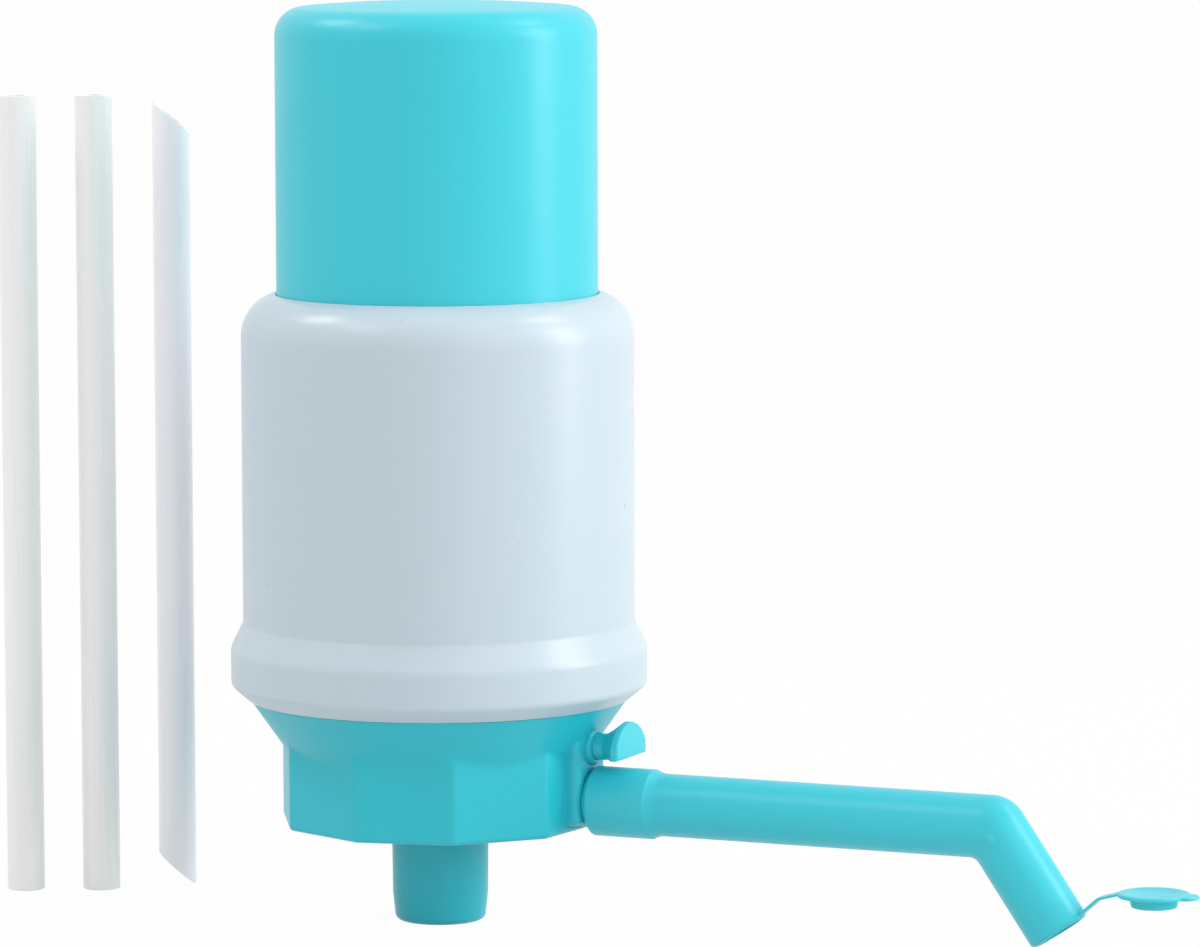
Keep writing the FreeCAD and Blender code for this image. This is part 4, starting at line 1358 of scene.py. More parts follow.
    def draw(self) -> Draft:
        """Draw the spout: down its outside to the mouth, and back through its bore.

        Returns:
            The draft.
        """
        zero_x = self.elbow_x - self.reach
        bend_length = self.bend_r * self.down
        end = bend_length + self.mouth_leg - self.reach
        heel, brow, toe = self.sleeve_rounds
        drop, way = self.sleeve_step
        sleeve = rounded([
            (self.sleeve_r - self.sleeve_chamfer - 0.05, self.start_x),
            (self.sleeve_r - self.sleeve_chamfer, self.start_x),
            (self.sleeve_r, self.start_x + self.sleeve_chamfer, heel),
            (self.sleeve_r, self.sleeve_end_x, brow),
            (self.sleeve_r - drop, self.sleeve_end_x + way),
            (self.radius, self.sleeve_end_x + self.sleeve_taper, toe),
            (self.radius, self.sleeve_end_x + 6.0),
        ], 5)
        straight = [(x - zero_x, radius) for radius, x in sleeve]
        straight += [(travel, self.radius) for travel in self.leg_rows]
        mouth = [(bend_length + travel, self.radius) for travel in self.mouth_rows]
        mouth += [(end - self.mouth_round + up, radius) for radius, up in
                  arc((self.radius - self.mouth_round, 0.0), self.mouth_round, 0.0, QUARTER, 7)]
        inner = [(end, self.bore_r + self.mouth_chamfer), (end - self.mouth_chamfer, self.bore_r)]
        inner += [(bend_length * step / self.bore_steps, self.bore_r)
                  for step in range(self.bore_steps, -1, -1)]
        inner += [(travel, self.bore_r) for travel in self.bore_rows]
        snap_low, snap_high = self.snap_x
        inner += [(x - zero_x, radius) for radius, x in (
            (self.bore_r, snap_high), (self.snap_r, snap_high), (self.snap_r, snap_low),
            (self.socket_r, snap_low - 0.5), (self.socket_r, self.start_x))]
        elbow = [self.elbow_ring(step / self.elbow_steps) for step in range(self.elbow_steps + 1)]
        bent, round_again = elbow[-1], self.ring(*mouth[0])
        elbow += [[first.lerp(last, step / self.settle_steps) for first, last in zip(bent, round_again)]
                  for step in range(1, self.settle_steps)]
        self.raise_mark(elbow)
        before, behind = ([self.ring(travel, radius) for travel, radius in part]
                          for part in (straight, mouth + inner))
        draft = Draft()
        draft.skin(before + elbow + behind, looped=True)
        return draft


@dataclass
class Lid:
    """The lid with its plug and finger tab, and the strap that ties it to the spout."""

    spout: Spout
    arm: float = 11.32
    setback: float = 1.19
    radius: float = 7.4
    thickness: float = 0.8
    plug_top_r: float = 5.0
    plug_end_r: float = 4.7
    plug_h: float = 2.1
    plug_wall: float = 0.9
    tab_reach: float = 9.4
    tab_w: float = 6.0
    strap_w: float = 4.0
    strap_t: float = 0.5
    strap_round: float = 0.12
    strap_bend: float = 0.8
    edge_cut: float = 0.12
    dish: float = 0.08
    root_depth: float = 0.7
    strap_spread: float = 0.25

    @property
    def fold(self) -> Vector:
        """Where the strap folds."""
        return self.spout.mouth + self.spout.mouth_across * self.arm - self.spout.mouth_axis * self.setback

    @property
    def middle(self) -> Vector:
        """Middle of the underside of the lid."""
        return self.fold + Vector((self.arm, 0.0, self.setback + 0.05))

    def edge(self, angle: float) -> float:
        """Outline of the plate and its tab.

        Args:
            angle: Direction from the middle.

        Returns:
            The radius.
        """
        side = abs((angle + math.pi) % FULL_TURN - math.pi)
        if side > 1.2:
            return self.radius
        half = self.tab_w / 2
        corner = half * 0.9
        centre = Vector((self.tab_reach - corner, half - corner))
        heading = Vector((math.cos(side), math.sin(side)))
        along = centre.dot(heading)
        gap = along ** 2 - centre.length_squared + corner ** 2
        tab = along + math.sqrt(gap) if gap > 0.0 else 0.0
        return soft_max(self.radius, tab, 0.5) if tab else self.radius

    def plate(self, finishes: Finishes) -> bpy.types.Object:
        """The lid's plate, tab and hollow plug.

        Args:
            finishes: The finishes.

        Returns:
            The object.
        """
        inner_r = self.plug_end_r - self.plug_wall
        top = self.thickness
        under = [(0.0, 0.0), (inner_r - 0.2, 0.0), (inner_r, -0.2), (inner_r, -self.plug_h + 0.15),
                 (inner_r + 0.15, -self.plug_h)]
        under += arc((self.plug_end_r - 0.3, -self.plug_h + 0.3), 0.3, -QUARTER, -0.1, 4)
        under += [(self.plug_top_r, -0.15), (self.plug_top_r + 0.15, 0.0)]
        rims = [(-self.edge_cut, 0.0), (0.0, 0.12), (0.0, 0.3), (-0.02, 0.48), (-0.1, 0.58)]
        over = [(self.radius - self.edge_cut, top * 0.74), (self.radius - 0.3, top * 0.94),
                (self.radius - 0.6, top), (self.radius - 1.6, top),
                (self.radius - 1.75, top - self.dish), (0.0, top - self.dish)]
        middle = self.middle
        angles = full_turn(144)

        def circle(radius: float, z: float) -> list[Vector]:
            """A round ring about the lid's middle, or a pole."""
            return [middle + upright(radius, z, turn) for turn in angles[:1 if radius < ON_AXIS else None]]

        rings = [circle(radius, z) for radius, z in under]
        rings += [[middle + upright(self.edge(turn) + out, z, turn) for turn in angles] for out, z in rims]
        rings += [circle(radius, z) for radius, z in over]
        draft = Draft()
        draft.skin(rings)
        return placed("lid_plate", draft.finish("lid_plate"), finishes.aqua)

    def strap(self, finishes: Finishes) -> bpy.types.Object:
        """The thin strap from the rim of the mouth over the fold to the plate.

        Args:
            finishes: The finishes.

        Returns:
            The object.
        """
        spout = self.spout
        root = spout.mouth - spout.mouth_axis * 0.5 + spout.mouth_across * (spout.radius - self.root_depth)
        edge = self.middle - FORWARD * (self.radius - 0.5)
        knots = [root.lerp(self.fold, share) for share in (0.0, 0.35, 0.7, 0.94, 1.0)]
        knots += [self.fold.lerp(edge, share) for share in (0.12, 0.5, 1.0)]
        path = [first.lerp(second, step / 4)
                for first, second in zip(knots, knots[1:]) for step in range(4)]
        path.append(edge)
        rings = []
        for index, point in enumerate(path):
            before = path[max(index - 1, 0)]
            after = path[min(index + 1, len(path) - 1)]
            along = (after - before).normalized()
            up = along.cross(SIDE)
            width = self.strap_w / 2 * (1.0 + self.strap_spread * (index / len(path)) ** 4)
            edge_r = self.strap_round
            section = rounded([(0.0, 0.0), (width, 0.0, edge_r), (width, self.strap_t, edge_r),
                               (-width, self.strap_t, edge_r), (-width, 0.0, edge_r), (0.0, 0.0)], 3)[:-1]
            rings.append([point + SIDE * across + up * high for across, high in section])
        first, last = ([sum(ring, Vector()) / len(ring)] for ring in (rings[0], rings[-1]))
        draft = Draft()
        draft.skin([first, *rings, last])
        return placed("lid_strap_band", draft.finish("lid_strap_band", 40.0), finishes.aqua)

    def build(self, finishes: Finishes) -> Iterable[Piece]:
        """Make the lid and its strap; the strap is drawn over the lid's fold.

        Args:
            finishes: The finishes.

        Returns:
            The lid.
        """
        band = self.strap(finishes)
        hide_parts("lid_strap")
        lean = ((self.fold - self.spout.mouth).normalized() + FORWARD).normalized() * self.strap_bend
        tuple((self.fold - lean) * MM)
        tuple((self.fold + lean) * MM)
        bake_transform(band)
        log.info("piece %s bends from %s to %s", band.name, Body.SPOUT.value, Body.LID.value)
        return [Piece(self.plate(finishes), Body.LID, Slot.AQUA, ("spout_lid",))]


# ---------------------------------------------------------------------------------------------
# Vent button
# ---------------------------------------------------------------------------------------------
def arc_through(first: Vector, second: Vector, third: Vector, steps: int) -> list[Vector]:
    """Points on the arc through three points of a plane, without the last one.

    Args:
        first: Start.
        second: A point between.
        third: End.
        steps: Number of steps.

    Returns:
        The points.
    """
    chord_a = second - first
    chord_b = third - first
    twice = 2.0 * (chord_a.x * chord_b.y - chord_a.y * chord_b.x)
    if abs(twice) < 1e-9:
        return [first.lerp(third, step / steps) for step in range(steps)]
    centre = first + Vector((
        chord_b.y * chord_a.length_squared - chord_a.y * chord_b.length_squared,
        chord_a.x * chord_b.length_squared - chord_b.x * chord_a.length_squared)) / twice
    arm = first - centre
    last = third - centre
    turn = math.atan2(arm.x * last.y - arm.y * last.x, arm.dot(last)) % FULL_TURN
    points = []
    for step in range(steps):
        angle = turn * step / steps
        points.append(centre + Vector((arm.x * math.cos(angle) - arm.y * math.sin(angle),
                                       arm.x * math.sin(angle) + arm.y * math.cos(angle))))
    return points


@dataclass
class VentButton(Moulding):
    """The D-shaped thumb pad on its flared stem."""

    label: ClassVar[Label] = Label("vent_button_body", "aqua", Body.VENT, Slot.AQUA, ("vent_button",))

    axis_z: float = 17.8
    stem_r: float = 2.75
    stem_end_x: float = 32.55
    bore_r: float = 2.1
    bore_end_x: float = 41.15
    rod_r: float = 1.1
    rod_end_x: float = 25.2
    flare_x: float = 38.3
    face_x: float = 44.0
    pad_t: float = 1.6
    pad_low_z: float = 16.0
    pad_h: float = 7.3
    pad_half_w: float = 7.6
    pad_side_h: float = 3.0
    pad_bulge: float = 0.05
    pad_draw_in: float = 0.97
    edge_round: float = 0.64
    stem_row: float = 35.5
    arc_steps: int = 22
    flare_steps: int = 16
    flare_power: float = 1.2
    edge_steps: int = 6

    def section(self, x: float, spread: float, inset: float = 0.0) -> list[Vector]:
        """Outline of the button at one place.

        Args:
            x: Where.
            spread: 0 for the round stem, 1 for the pad.
            inset: How far the outline is drawn in.

        Returns:
            The points.
        """
        slant = self.stem_r * math.sqrt(0.5)
        low = self.pad_low_z - self.axis_z
        top = low + self.pad_h
        side = low + self.pad_side_h
        half_side = low + self.pad_side_h / 2
        wide = self.pad_half_w
        upper_wide = wide * self.pad_draw_in
        bulge = self.pad_bulge
        pairs = [
            ((-slant, -slant), (-wide, low)),
            ((0.0, -self.stem_r), (0.0, low - bulge)),
            ((slant, -slant), (wide, low)),
            ((self.stem_r, 0.0), (wide + bulge, half_side)),
            ((slant, slant), (upper_wide, side)),
            ((0.0, self.stem_r), (0.0, top)),
            ((-slant, slant), (-upper_wide, side)),
            ((-self.stem_r, 0.0), (-wide - bulge, half_side)),
        ]
        knots = [Vector(stem).lerp(Vector(pad), spread) for stem, pad in pairs]
        knots.append(knots[0])
        outline = []
        for index in range(0, len(pairs), 2):
            outline += arc_through(*knots[index:index + 3], self.arc_steps)
        middle = low + self.pad_h * 0.4
        narrow = 1.0 - inset / wide
        flat = 1.0 - 2.0 * inset / self.pad_h
        return [Vector((x, point.x * narrow, self.axis_z + middle + (point.y - middle) * flat))
                for point in outline]

    def circle(self, x: float, radius: float) -> list[Vector]:
        """A round section with as many points as the pad's outline."""
        axis = Vector((x, 0.0, self.axis_z))
        return [axis + (point - axis) * (radius / self.stem_r) for point in self.section(x, 0.0)]

    def draw(self) -> Draft:
        """Draw the button, from the rod's end through the stem and its flare to the pad.

        Returns:
            The draft.
        """
        back_x = self.face_x - self.pad_t
        rings = [[Vector((self.rod_end_x, 0.0, self.axis_z))]]
        rings += [self.circle(x, radius) for x, radius in (
            (self.rod_end_x, self.rod_r - 0.1), (self.rod_end_x + 0.1, self.rod_r),
            (self.bore_end_x, self.rod_r), (self.bore_end_x, self.bore_r), (self.stem_end_x, self.bore_r),
            (self.stem_end_x, self.stem_r - 0.15), (self.stem_end_x + 0.15, self.stem_r),
            (self.stem_row, self.stem_r))]
        for step in range(self.flare_steps + 1):
            share = step / self.flare_steps
            x = self.flare_x + (back_x - self.flare_x) * share
            rings.append(self.section(x, share ** self.flare_power))
        rings.append(self.section(back_x + 0.2, 1.0))
        for step in range(self.edge_steps + 1):
            turn = QUARTER * step / self.edge_steps
            rings.append(self.section(self.face_x - self.edge_round * (1 - math.sin(turn)), 1.0,
                                      self.edge_round * (1 - math.cos(turn))))
        rings.append([Vector((self.face_x, 0.0, self.axis_z + 0.6))])
        draft = Draft()
        draft.skin(rings)
        return draft


# ---------------------------------------------------------------------------------------------
# Suction tubes
# ---------------------------------------------------------------------------------------------
@dataclass
class SuctionTube(Moulding):
    """One loose suction tube."""

    label: Label
    foot: Point
    length: float = 171.5
    bevel_deg: float = 0.0
    radius: float = 4.0
    wall: float = 1.0
    bottom_z: float = -20.9
    turn_deg: float = 25.0
    edge: float = 0.12
    rows: int = 12

    def draw(self) -> Draft:
        """Draw the tube.

        Returns:
            The draft.
        """
        slope = math.tan(math.radians(self.bevel_deg))
        turn = math.radians(self.turn_deg)
        drop = self.radius * slope

        def place(radius: float, share: float, angle: float) -> Vector:
            """A point of the tube.

            Args:
                radius: Distance from the tube's axis.
                share: 0 on the bottom cut, 1 on the top cut.
                angle: Direction about the axis.

            Returns:
                The point.
            """
            across = radius * math.cos(angle)
            low = self.bottom_z + drop - across * slope
            high = self.bottom_z + self.length - drop - across * slope
            return Vector((*self.foot, low + (high - low) * share)) + upright(radius, 0.0, angle + turn)

        outer, inner, edge = self.radius, self.radius - self.wall, self.edge
        tiny = edge / self.length
        shares = [step / self.rows for step in range(1, self.rows)]
        outline = [(inner, tiny), (inner + edge, 0.0), (outer - edge, 0.0), (outer, tiny)]
        outline += [(outer, share) for share in shares]
        outline += [(outer, 1.0 - tiny), (outer - edge, 1.0), (inner + edge, 1.0), (inner, 1.0 - tiny)]
        outline += [(inner, 1.0 - share) for share in shares]
        draft = Draft()
        draft.turned(outline, place, 96, looped=True)
        return draft


@dataclass
class TubeRow:
    """The three tubes beside the pump: two in a line and the bevelled one a little behind it."""

    first: Point = (-98.5, -0.7)
    pitch: float = 16.3
    setback: float = 4.5

    def foot(self, step: int, setback: float = 0.0) -> Point:
        """Where a tube of the row stands.

        Args:
            step: Its number in the row, from 0.
            setback: How far it stands behind the line.

        Returns:
            The middle of its foot.
        """
        turn = math.radians(SuctionTube.turn_deg)
        way = self.pitch * step
        return (self.first[0] + way * math.cos(turn) - setback * math.sin(turn),
                self.first[1] + way * math.sin(turn) + setback * math.cos(turn))

    def build(self, finishes: Finishes) -> Iterable[Piece]:
        """Make the tubes.

        Args:
            finishes: The finishes.

        Returns:
            The tubes, from left to right.
        """
        left = Label("tube_left_wall", "tube", Body.LEFT_TUBE, Slot.TUBE, ("suction_tube_left",))
        middle = Label("tube_middle_wall", "tube", Body.MIDDLE_TUBE, Slot.TUBE, ("suction_tube_middle",))
        bevelled = Label("tube_bevelled_wall", "blue_tube", Body.BEVELLED_TUBE, Slot.TUBE,
                         ("suction_tube_bevelled",))
        tubes = [SuctionTube(left, self.foot(0)), SuctionTube(middle, self.foot(1)),
                 SuctionTube(bevelled, self.foot(2, self.setback), length=170.0, bevel_deg=41.0)]
        return [piece for tube in tubes for piece in tube.build(finishes)]


# ---------------------------------------------------------------------------------------------
# Bellows and springs
# ---------------------------------------------------------------------------------------------
class Recipe:
    """A Geometry Nodes tree with named inputs that ends in real geometry with its material."""

    def __init__(self, name: str) -> None:
        """Start the tree.

        Args:
            name: Name of the tree.
        """
        self.tree = bpy.data.node_groups.new(name, "GeometryNodeTree")
        self.bench = Bench(self.tree)
        self.sockets: dict[str, str] = {}
        self.tree.interface.new_socket("Geometry", in_out="OUTPUT", socket_type="NodeSocketGeometry")
        first = self.tree.interface.new_socket("Geometry", in_out="INPUT", socket_type="NodeSocketGeometry")
        self.sockets["Geometry"] = first.identifier
        self.source = self.tree.nodes.new("NodeGroupInput")

    def input(self, name: str, kind: str = "NodeSocketFloat") -> Signal:
        """Add a named input.

        Args:
            name: Its name.
            kind: Its socket type.

        Returns:
            The input as a signal.
        """
        item = self.tree.interface.new_socket(name, in_out="INPUT", socket_type=kind)
        self.sockets[name] = item.identifier
        return self.given(name)

    def given(self, name: str) -> Signal:
        """An input that is already there."""
        socket = next(socket for socket in self.source.outputs if socket.identifier == self.sockets[name])
        return Signal(self.bench, socket)

    def close(self, shape: Signal, material: bpy.types.Material) -> None:
        """End the tree in Realize Instances and Set Material.

        Args:
            shape: The geometry.
            material: Its material.
        """
        bench = self.bench
        real = bench.add("GeometryNodeRealizeInstances", {}, {"Geometry": shape})
        dressed = bench.add("GeometryNodeSetMaterial", {}, {"Geometry": real, "Material": material})
        bench.add("NodeGroupOutput", {}, {0: dressed})

    def run(self, thing: bpy.types.Object, values: dict[str, object]) -> bpy.types.Mesh:
        """Run the tree on an object and keep the result as its plain mesh.

        Args:
            thing: The object.
            values: Values of the named inputs.

        Returns:
            The mesh.
        """
        modifier = thing.modifiers.new(self.tree.name, "NODES")
        modifier.node_group = self.tree
        for name, value in values.items():
            modifier[self.sockets[name]] = value
        return applied(thing)


@dataclass
class CoilSpring:
    """A spring of round wire, wound at an even pitch."""

    name: str
    node: str
    start: Vector
    axis: Vector
    length: float
    coil_r: float
    wire_r: float
    turns: float
    joint: str
    stroke: float

    @property
    def keep(self) -> float:
        """Share of the length that is left at the end of the stroke."""
        return (self.length - self.stroke) / self.length

    def build(self, finishes: Finishes) -> Iterable[Piece]:
        """Make the spring.

        Args:
            finishes: The finishes.

        Returns:
            The piece.
        """
        recipe = Recipe(self.name + "_winding")
        turns = recipe.input("Turns")
        coil_r = recipe.input("Coil Radius")
        wire_r = recipe.input("Wire Radius")
        height = recipe.input("Height")
        bench = recipe.bench
        path = bench.add("GeometryNodeCurveSpiral", {},
                         {"Resolution": 40, "Rotations": turns, "Start Radius": coil_r,
                          "End Radius": coil_r, "Height": height})
        wire = bench.add("GeometryNodeCurvePrimitiveCircle", {"mode": "RADIUS"},
                         {"Resolution": 14, "Radius": wire_r})
        solid = bench.add("GeometryNodeCurveToMesh", {},
                          {"Curve": path, "Profile Curve": wire, "Fill Caps": True})
        smooth = bench.add("GeometryNodeSetShadeSmooth", {}, {"Geometry": solid})
        recipe.close(smooth, finishes.steel)
        thing = placed(self.name, bpy.data.meshes.new(self.name), finishes.steel)
        mesh = recipe.run(thing, {
            "Turns": self.turns, "Coil Radius": self.coil_r * MM, "Wire Radius": self.wire_r * MM,
            "Height": (self.length - 2 * self.wire_r) * MM})
        turn = UP.rotation_difference(self.axis).to_matrix().to_4x4()
        mesh.transform(Matrix.Translation((self.start + self.axis * self.wire_r) * MM) @ turn)
        return [Piece(thing, Body.BASE, Slot.STEEL, (self.node,))]

    def squash(self, piece: Piece) -> None:
        """Give the spring a mesh of its own."""
        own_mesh(piece.thing, self.joint, axis=tuple(self.axis), anchor=tuple(self.start * MM),
                  keep=self.keep)


@dataclass
class Bellows:
    """The folded air chamber between the valve plate and the head in the cap."""

    foot_z: float = 35.10
    top_z: float = 163.35
    folds_low_z: float = 39.1
    folds_top_z: float = 155.0
    folds: int = 9
    crest_r: float = 30.6
    root_r: float = 24.5
    cuff_r: float = 29.5
    flange_r: float = 34.4
    wall: float = 0.9
    fold_round: float = 0.8
    cuff_step: float = 0.6
    segments: int = 128

    def build(self, finishes: Finishes) -> Iterable[Piece]:
        """Make the bellows: one fold repeated up the chamber, with a cuff at each end.

        Args:
            finishes: The finishes.

        Returns:
            The piece.
        """
        pitch = (self.folds_top_z - self.folds_low_z) / self.folds
        fold = Draft()
        fold.turned(rounded([(self.crest_r, 0.0), (self.root_r, pitch / 2, self.fold_round),
                             (self.crest_r, pitch)], 4), segments=self.segments)
        thing = placed("bellows_wall", fold.finish("bellows_fold", 180.0), finishes.bellows)
        recipe = Recipe("bellows_folds")
        count = recipe.input("Folds", "NodeSocketInt")
        start = recipe.input("Start", "NodeSocketVector")
        step = recipe.input("Pitch", "NodeSocketVector")
        bench = recipe.bench
        line = bench.add("GeometryNodeMeshLine", {"mode": "OFFSET"},
                         {"Count": count, "Start Location": start, "Offset": step})
        copies = bench.add("GeometryNodeInstanceOnPoints", {},
                           {"Points": line, "Instance": recipe.given("Geometry")})
        real = bench.add("GeometryNodeRealizeInstances", {}, {"Geometry": copies})
        joined = bench.add("GeometryNodeMergeByDistance", {}, {"Geometry": real, "Distance": 0.01 * MM})
        recipe.close(joined, finishes.bellows)
        mesh = recipe.run(thing, {"Folds": self.folds, "Start": (0.0, 0.0, self.folds_low_z * MM),
                                  "Pitch": (0.0, 0.0, pitch * MM)})
        draft = Draft()
        draft.take(mesh)
        flange_z = self.foot_z + self.wall
        draft.turned([(self.flange_r, flange_z), (self.cuff_r, flange_z),
                      (self.cuff_r, self.folds_low_z - self.cuff_step), (self.crest_r, self.folds_low_z)],
                     segments=self.segments)
        draft.turned([(self.crest_r, self.folds_top_z), (self.cuff_r, self.folds_top_z + self.cuff_step),
                      (self.cuff_r, self.top_z)], segments=self.segments)
        bmesh.ops.remove_doubles(draft.mesh, verts=draft.mesh.verts, dist=0.01)
        thing.data = draft.finish("bellows_wall", 50.0)
        thing.data.materials.append(finishes.bellows)
        sheet = thing.modifiers.new("wall", "SOLIDIFY")
        sheet.thickness = self.wall * MM
        sheet.offset = -1.0
        applied(thing)
        return [Piece(thing, Body.BASE, Slot.BELLOWS, ("bellows",))]

    def squash(self, piece: Piece) -> None:
        """Give the bellows a mesh of its own.

        Args:
            piece: The bellows.
        """
        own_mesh(piece.thing)


@dataclass
class InnerParts:
    """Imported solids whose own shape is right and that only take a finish."""

    dressed: tuple[tuple[str, Slot], ...] = (
        ("bellows_head", Slot.WHITE), ("head_clip", Slot.WHITE), ("valve_plate", Slot.WHITE),
        ("bellows_clamp_ring", Slot.WHITE), ("inlet_valve", Slot.SILICONE), ("outlet_valve", Slot.SILICONE),
        ("vent_seal", Slot.SILICONE), ("neck_gasket", Slot.SILICONE), ("nozzle_o_ring", Slot.RUBBER),
        ("spout_o_ring", Slot.RUBBER), ("plate_seal", Slot.RUBBER), ("vent_retainer", Slot.STEEL),
    )

    def dress(self, finishes: Finishes, frame: dict) -> None:
        """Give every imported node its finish, also the ones that a piece stands for.

        Args:
            finishes: The finishes.
            frame: The loaded frame.
        """
        for node in frame["record"]["subparts"]:
            solid = frame["nodes"][node["node"]]
            material = finishes.of(Slot(node["material_slot"]))
            for place in solid.material_slots:
                place.material = material
            if not solid.material_slots:
                solid.data.materials.append(material)
        for name, slot in self.dressed:
            log.info("node %s keeps its shape in %s", name, slot.value)


# ---------------------------------------------------------------------------------------------
# Studio
# ---------------------------------------------------------------------------------------------
@dataclass(frozen=True)
class Lamp:
    """A soft rectangular white lamp, which shiny pieces may mirror or not.

    Its place is given as degrees to the right of the camera, degrees above level and metres away.
    """

    name: str
    place: tuple[float, float, float]
    size: Point
    power: float
    mirrored: bool = True

    def hang(self, spot: Vector, aim: Vector) -> None:
        """Put the lamp in the scene.

        Args:
            spot: Where it hangs.
            aim: Where it points.
        """
        lamp = bpy.data.lights.new(self.name, "AREA")
        lamp.shape = "RECTANGLE"
        lamp.size, lamp.size_y = self.size
        lamp.energy = self.power
        thing = bpy.data.objects.new(self.name, lamp)
        thing.visible_glossy = self.mirrored
        turn = (aim - spot).to_track_quat("-Z", "Y").to_matrix().to_4x4()
        thing.matrix_world = Matrix.Translation(spot) @ turn
        bpy.context.scene.collection.objects.link(thing)


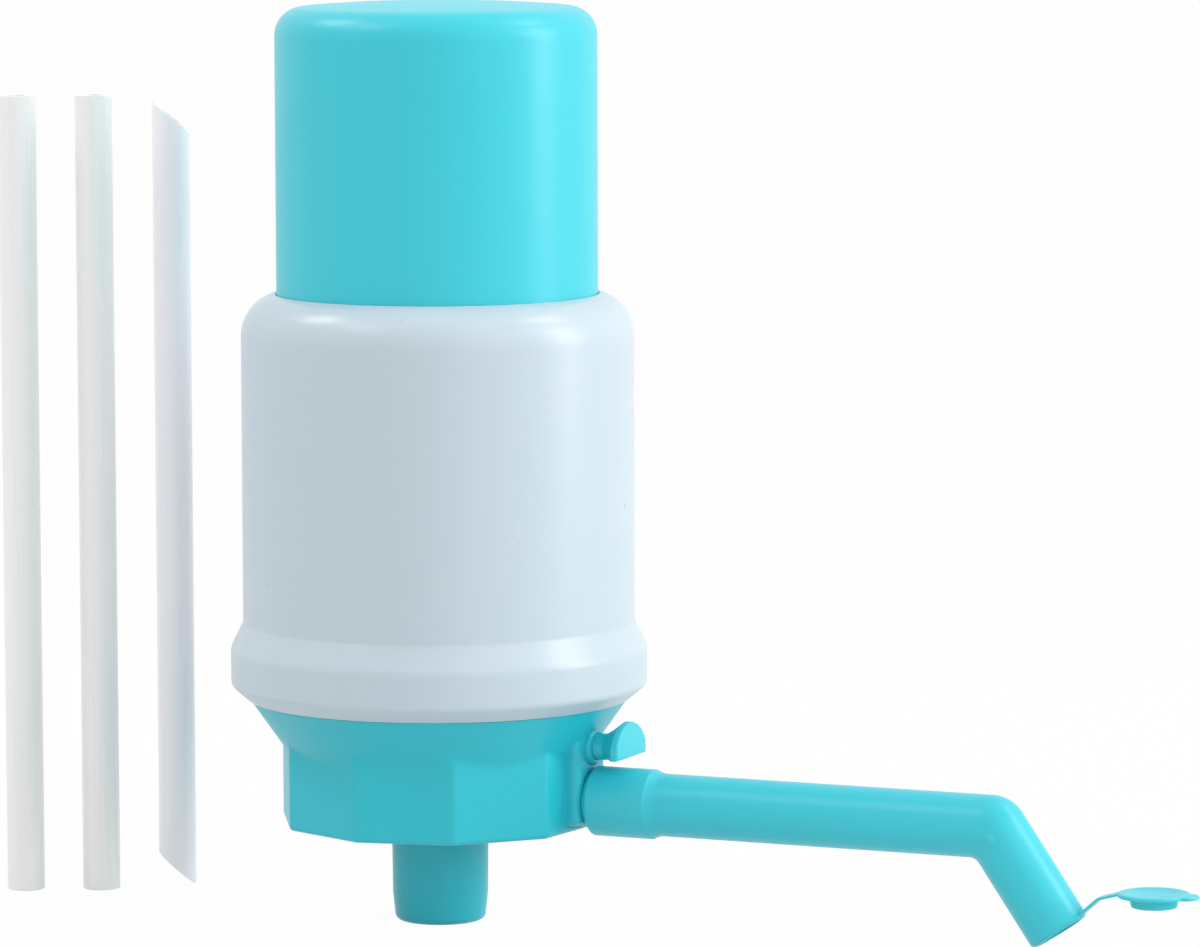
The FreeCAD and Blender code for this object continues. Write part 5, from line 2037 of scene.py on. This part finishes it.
@dataclass
class Studio:
    """Floor, world, lamps and camera, in metres."""

    floor_z: float = -0.0209
    floor_half: float = 9.0
    ambient: float = 0.72
    camera_spot: Vector = field(default_factory=lambda: Vector((0.5917, -1.2688, 0.22884)))
    camera_aim: Vector = field(default_factory=lambda: Vector((0.03065, 0.01429, 0.07314)))
    lens: float = 202.05
    sensor_w: float = 36.0
    roll_deg: float = -0.159
    lamp_aim: Vector = field(default_factory=lambda: Vector((0.0, 0.0, 0.08)))
    floor_tone: float = 0.7
    floor_glow: float = 0.97
    lamps: tuple[Lamp, ...] = (
        Lamp("right_softbox", (83.0, 18.0, 1.5), (0.45, 1.1), 9.8),
        Lamp("left_softbox", (-62.0, 52.0, 1.5), (0.5, 0.5), 2.5),
        Lamp("front_fill", (36.0, 27.0, 2.2), (1.4, 1.4), 8.5, mirrored=False),
        Lamp("right_top_lamp", (102.0, 52.0, 1.5), (0.32, 0.32), 2.6),
        Lamp("left_top_lamp", (-106.0, 50.0, 1.5), (0.4, 0.4), 4.0),
    )

    def seen(self, bench: Bench) -> Signal:
        """Tell the rays that see the white background from those that light the object.

        Args:
            bench: The bench of the world's or the floor's tree.

        Returns:
            1 for rays from the camera and for mirrored and refracted ones, 0 for the rest.
        """
        tree = bench.tree
        path = tree.nodes.new("ShaderNodeLightPath")
        camera, glossy, through = (Signal(bench, path.outputs[name]) for name in
                                   ("Is Camera Ray", "Is Glossy Ray", "Is Transmission Ray"))
        return camera.larger(glossy).larger(through)

    def world(self) -> None:
        """Set a white background and a plain level of light from all sides."""
        world = bpy.data.worlds.new("studio")
        world.use_nodes = True
        bench = Bench(world.node_tree)
        strength = self.ambient + self.seen(bench) * (1.0 - self.ambient)
        sky = bench.add("ShaderNodeBackground", {}, {"Color": (1.0, 1.0, 1.0), "Strength": strength})
        bench.add("ShaderNodeOutputWorld", {}, {"Surface": sky})
        bpy.context.scene.world = world

    def floor(self) -> None:
        """Lay the pale floor, which shows white and keeps the shadow."""
        material, bench, _place = new_material("studio_floor")
        matt = bench.add("ShaderNodeBsdfDiffuse", {}, {"Color": (self.floor_tone,) * 3})
        light = bench.add("ShaderNodeEmission", {}, {"Color": (1.0, 1.0, 1.0), "Strength": 1.0})
        mixed = bench.add("ShaderNodeMixShader", {},
                          {0: self.seen(bench) * self.floor_glow, 1: matt, 2: light})
        bench.add("ShaderNodeOutputMaterial", {}, {"Surface": mixed})
        draft = Draft()
        half = self.floor_half / MM
        z = self.floor_z / MM
        draft.mesh.faces.new([draft.mesh.verts.new((x * half, y * half, z))
                              for x, y in ((-1, -1), (1, -1), (1, 1), (-1, 1))])
        placed("studio_floor", draft.finish("studio_floor"), material)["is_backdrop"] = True

    def camera(self) -> None:
        """Set the camera."""
        data = bpy.data.cameras.new("view")
        data.lens = self.lens
        data.sensor_width = self.sensor_w
        data.sensor_fit = "HORIZONTAL"
        data.clip_start = 0.05
        data.clip_end = 60.0
        ahead = (self.camera_aim - self.camera_spot).normalized()
        right = ahead.cross(UP).normalized()
        up = right.cross(ahead)
        roll = math.radians(self.roll_deg)
        across = right * math.cos(roll) + up * math.sin(roll)
        upwards = up * math.cos(roll) - right * math.sin(roll)
        turn = Matrix((across, upwards, -ahead)).transposed().to_4x4()
        thing = bpy.data.objects.new("view", data)
        thing.matrix_world = Matrix.Translation(self.camera_spot) @ turn
        bpy.context.scene.collection.objects.link(thing)
        bpy.context.scene.camera = thing

    def around(self, right_deg: float, up_deg: float, distance: float) -> Vector:
        """A place around the pump, from the camera's direction.

        Args:
            right_deg: Degrees to the right of the camera.
            up_deg: Degrees above level.
            distance: Distance from the pump.

        Returns:
            The place.
        """
        back = self.camera_spot - self.camera_aim
        heading = math.atan2(back.y, back.x) + math.radians(right_deg)
        rise = math.radians(up_deg)
        level = distance * math.cos(rise)
        return self.lamp_aim + upright(level, distance * math.sin(rise), heading)

    def build(self) -> None:
        """Set the studio up."""
        bpy.context.scene.view_settings.view_transform = "Standard"
        self.world()
        self.floor()
        self.camera()
        for lamp in self.lamps:
            lamp.hang(self.around(*lamp.place), self.lamp_aim)
        log.info("studio is set")


# ---------------------------------------------------------------------------------------------
# Pump
# ---------------------------------------------------------------------------------------------
def springs() -> list[CoilSpring]:
    """The two springs.

    Returns:
        The cap's return spring and the vent button's spring.
    """
    return [
        CoilSpring("return_spring_wire", "return_spring", Vector((0.0, 0.0, 35.10)), axis=UP, length=128.25,
                   coil_r=13.5, wire_r=0.9, turns=11.0, joint="cap_press", stroke=CAP_STROKE),
        CoilSpring("vent_spring_wire", "vent_spring", Vector((30.55, 0.0, 17.8)), axis=FORWARD,
                   length=10.55, coil_r=1.6, wire_r=0.2, turns=7.0, joint="vent_press",
                   stroke=VENT_STROKE),
    ]


def main() -> list[list[float]]:
    """Build and dress the pump.

    Returns:
        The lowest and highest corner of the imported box.
    """
    logging.basicConfig(level=logging.INFO, format="%(name)s: %(message)s")
    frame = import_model()
    packed = [list(map(float, corner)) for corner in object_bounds()]
    Studio().build()
    finishes = Finishes()
    InnerParts().dress(finishes, frame)
    spout = Spout()
    makers = [PushCap(), Housing(), Base(), Nozzle(), spout, Lid(spout), VentButton(), TubeRow()]
    for maker in makers:
        for piece in maker.build(finishes):
            piece.fit()
    for maker in [Bellows(), *springs()]:
        for piece in maker.build(finishes):
            piece.fit()
            maker.squash(piece)
    return packed


if __name__ == "__main__":
    PACKED_BOX = main()
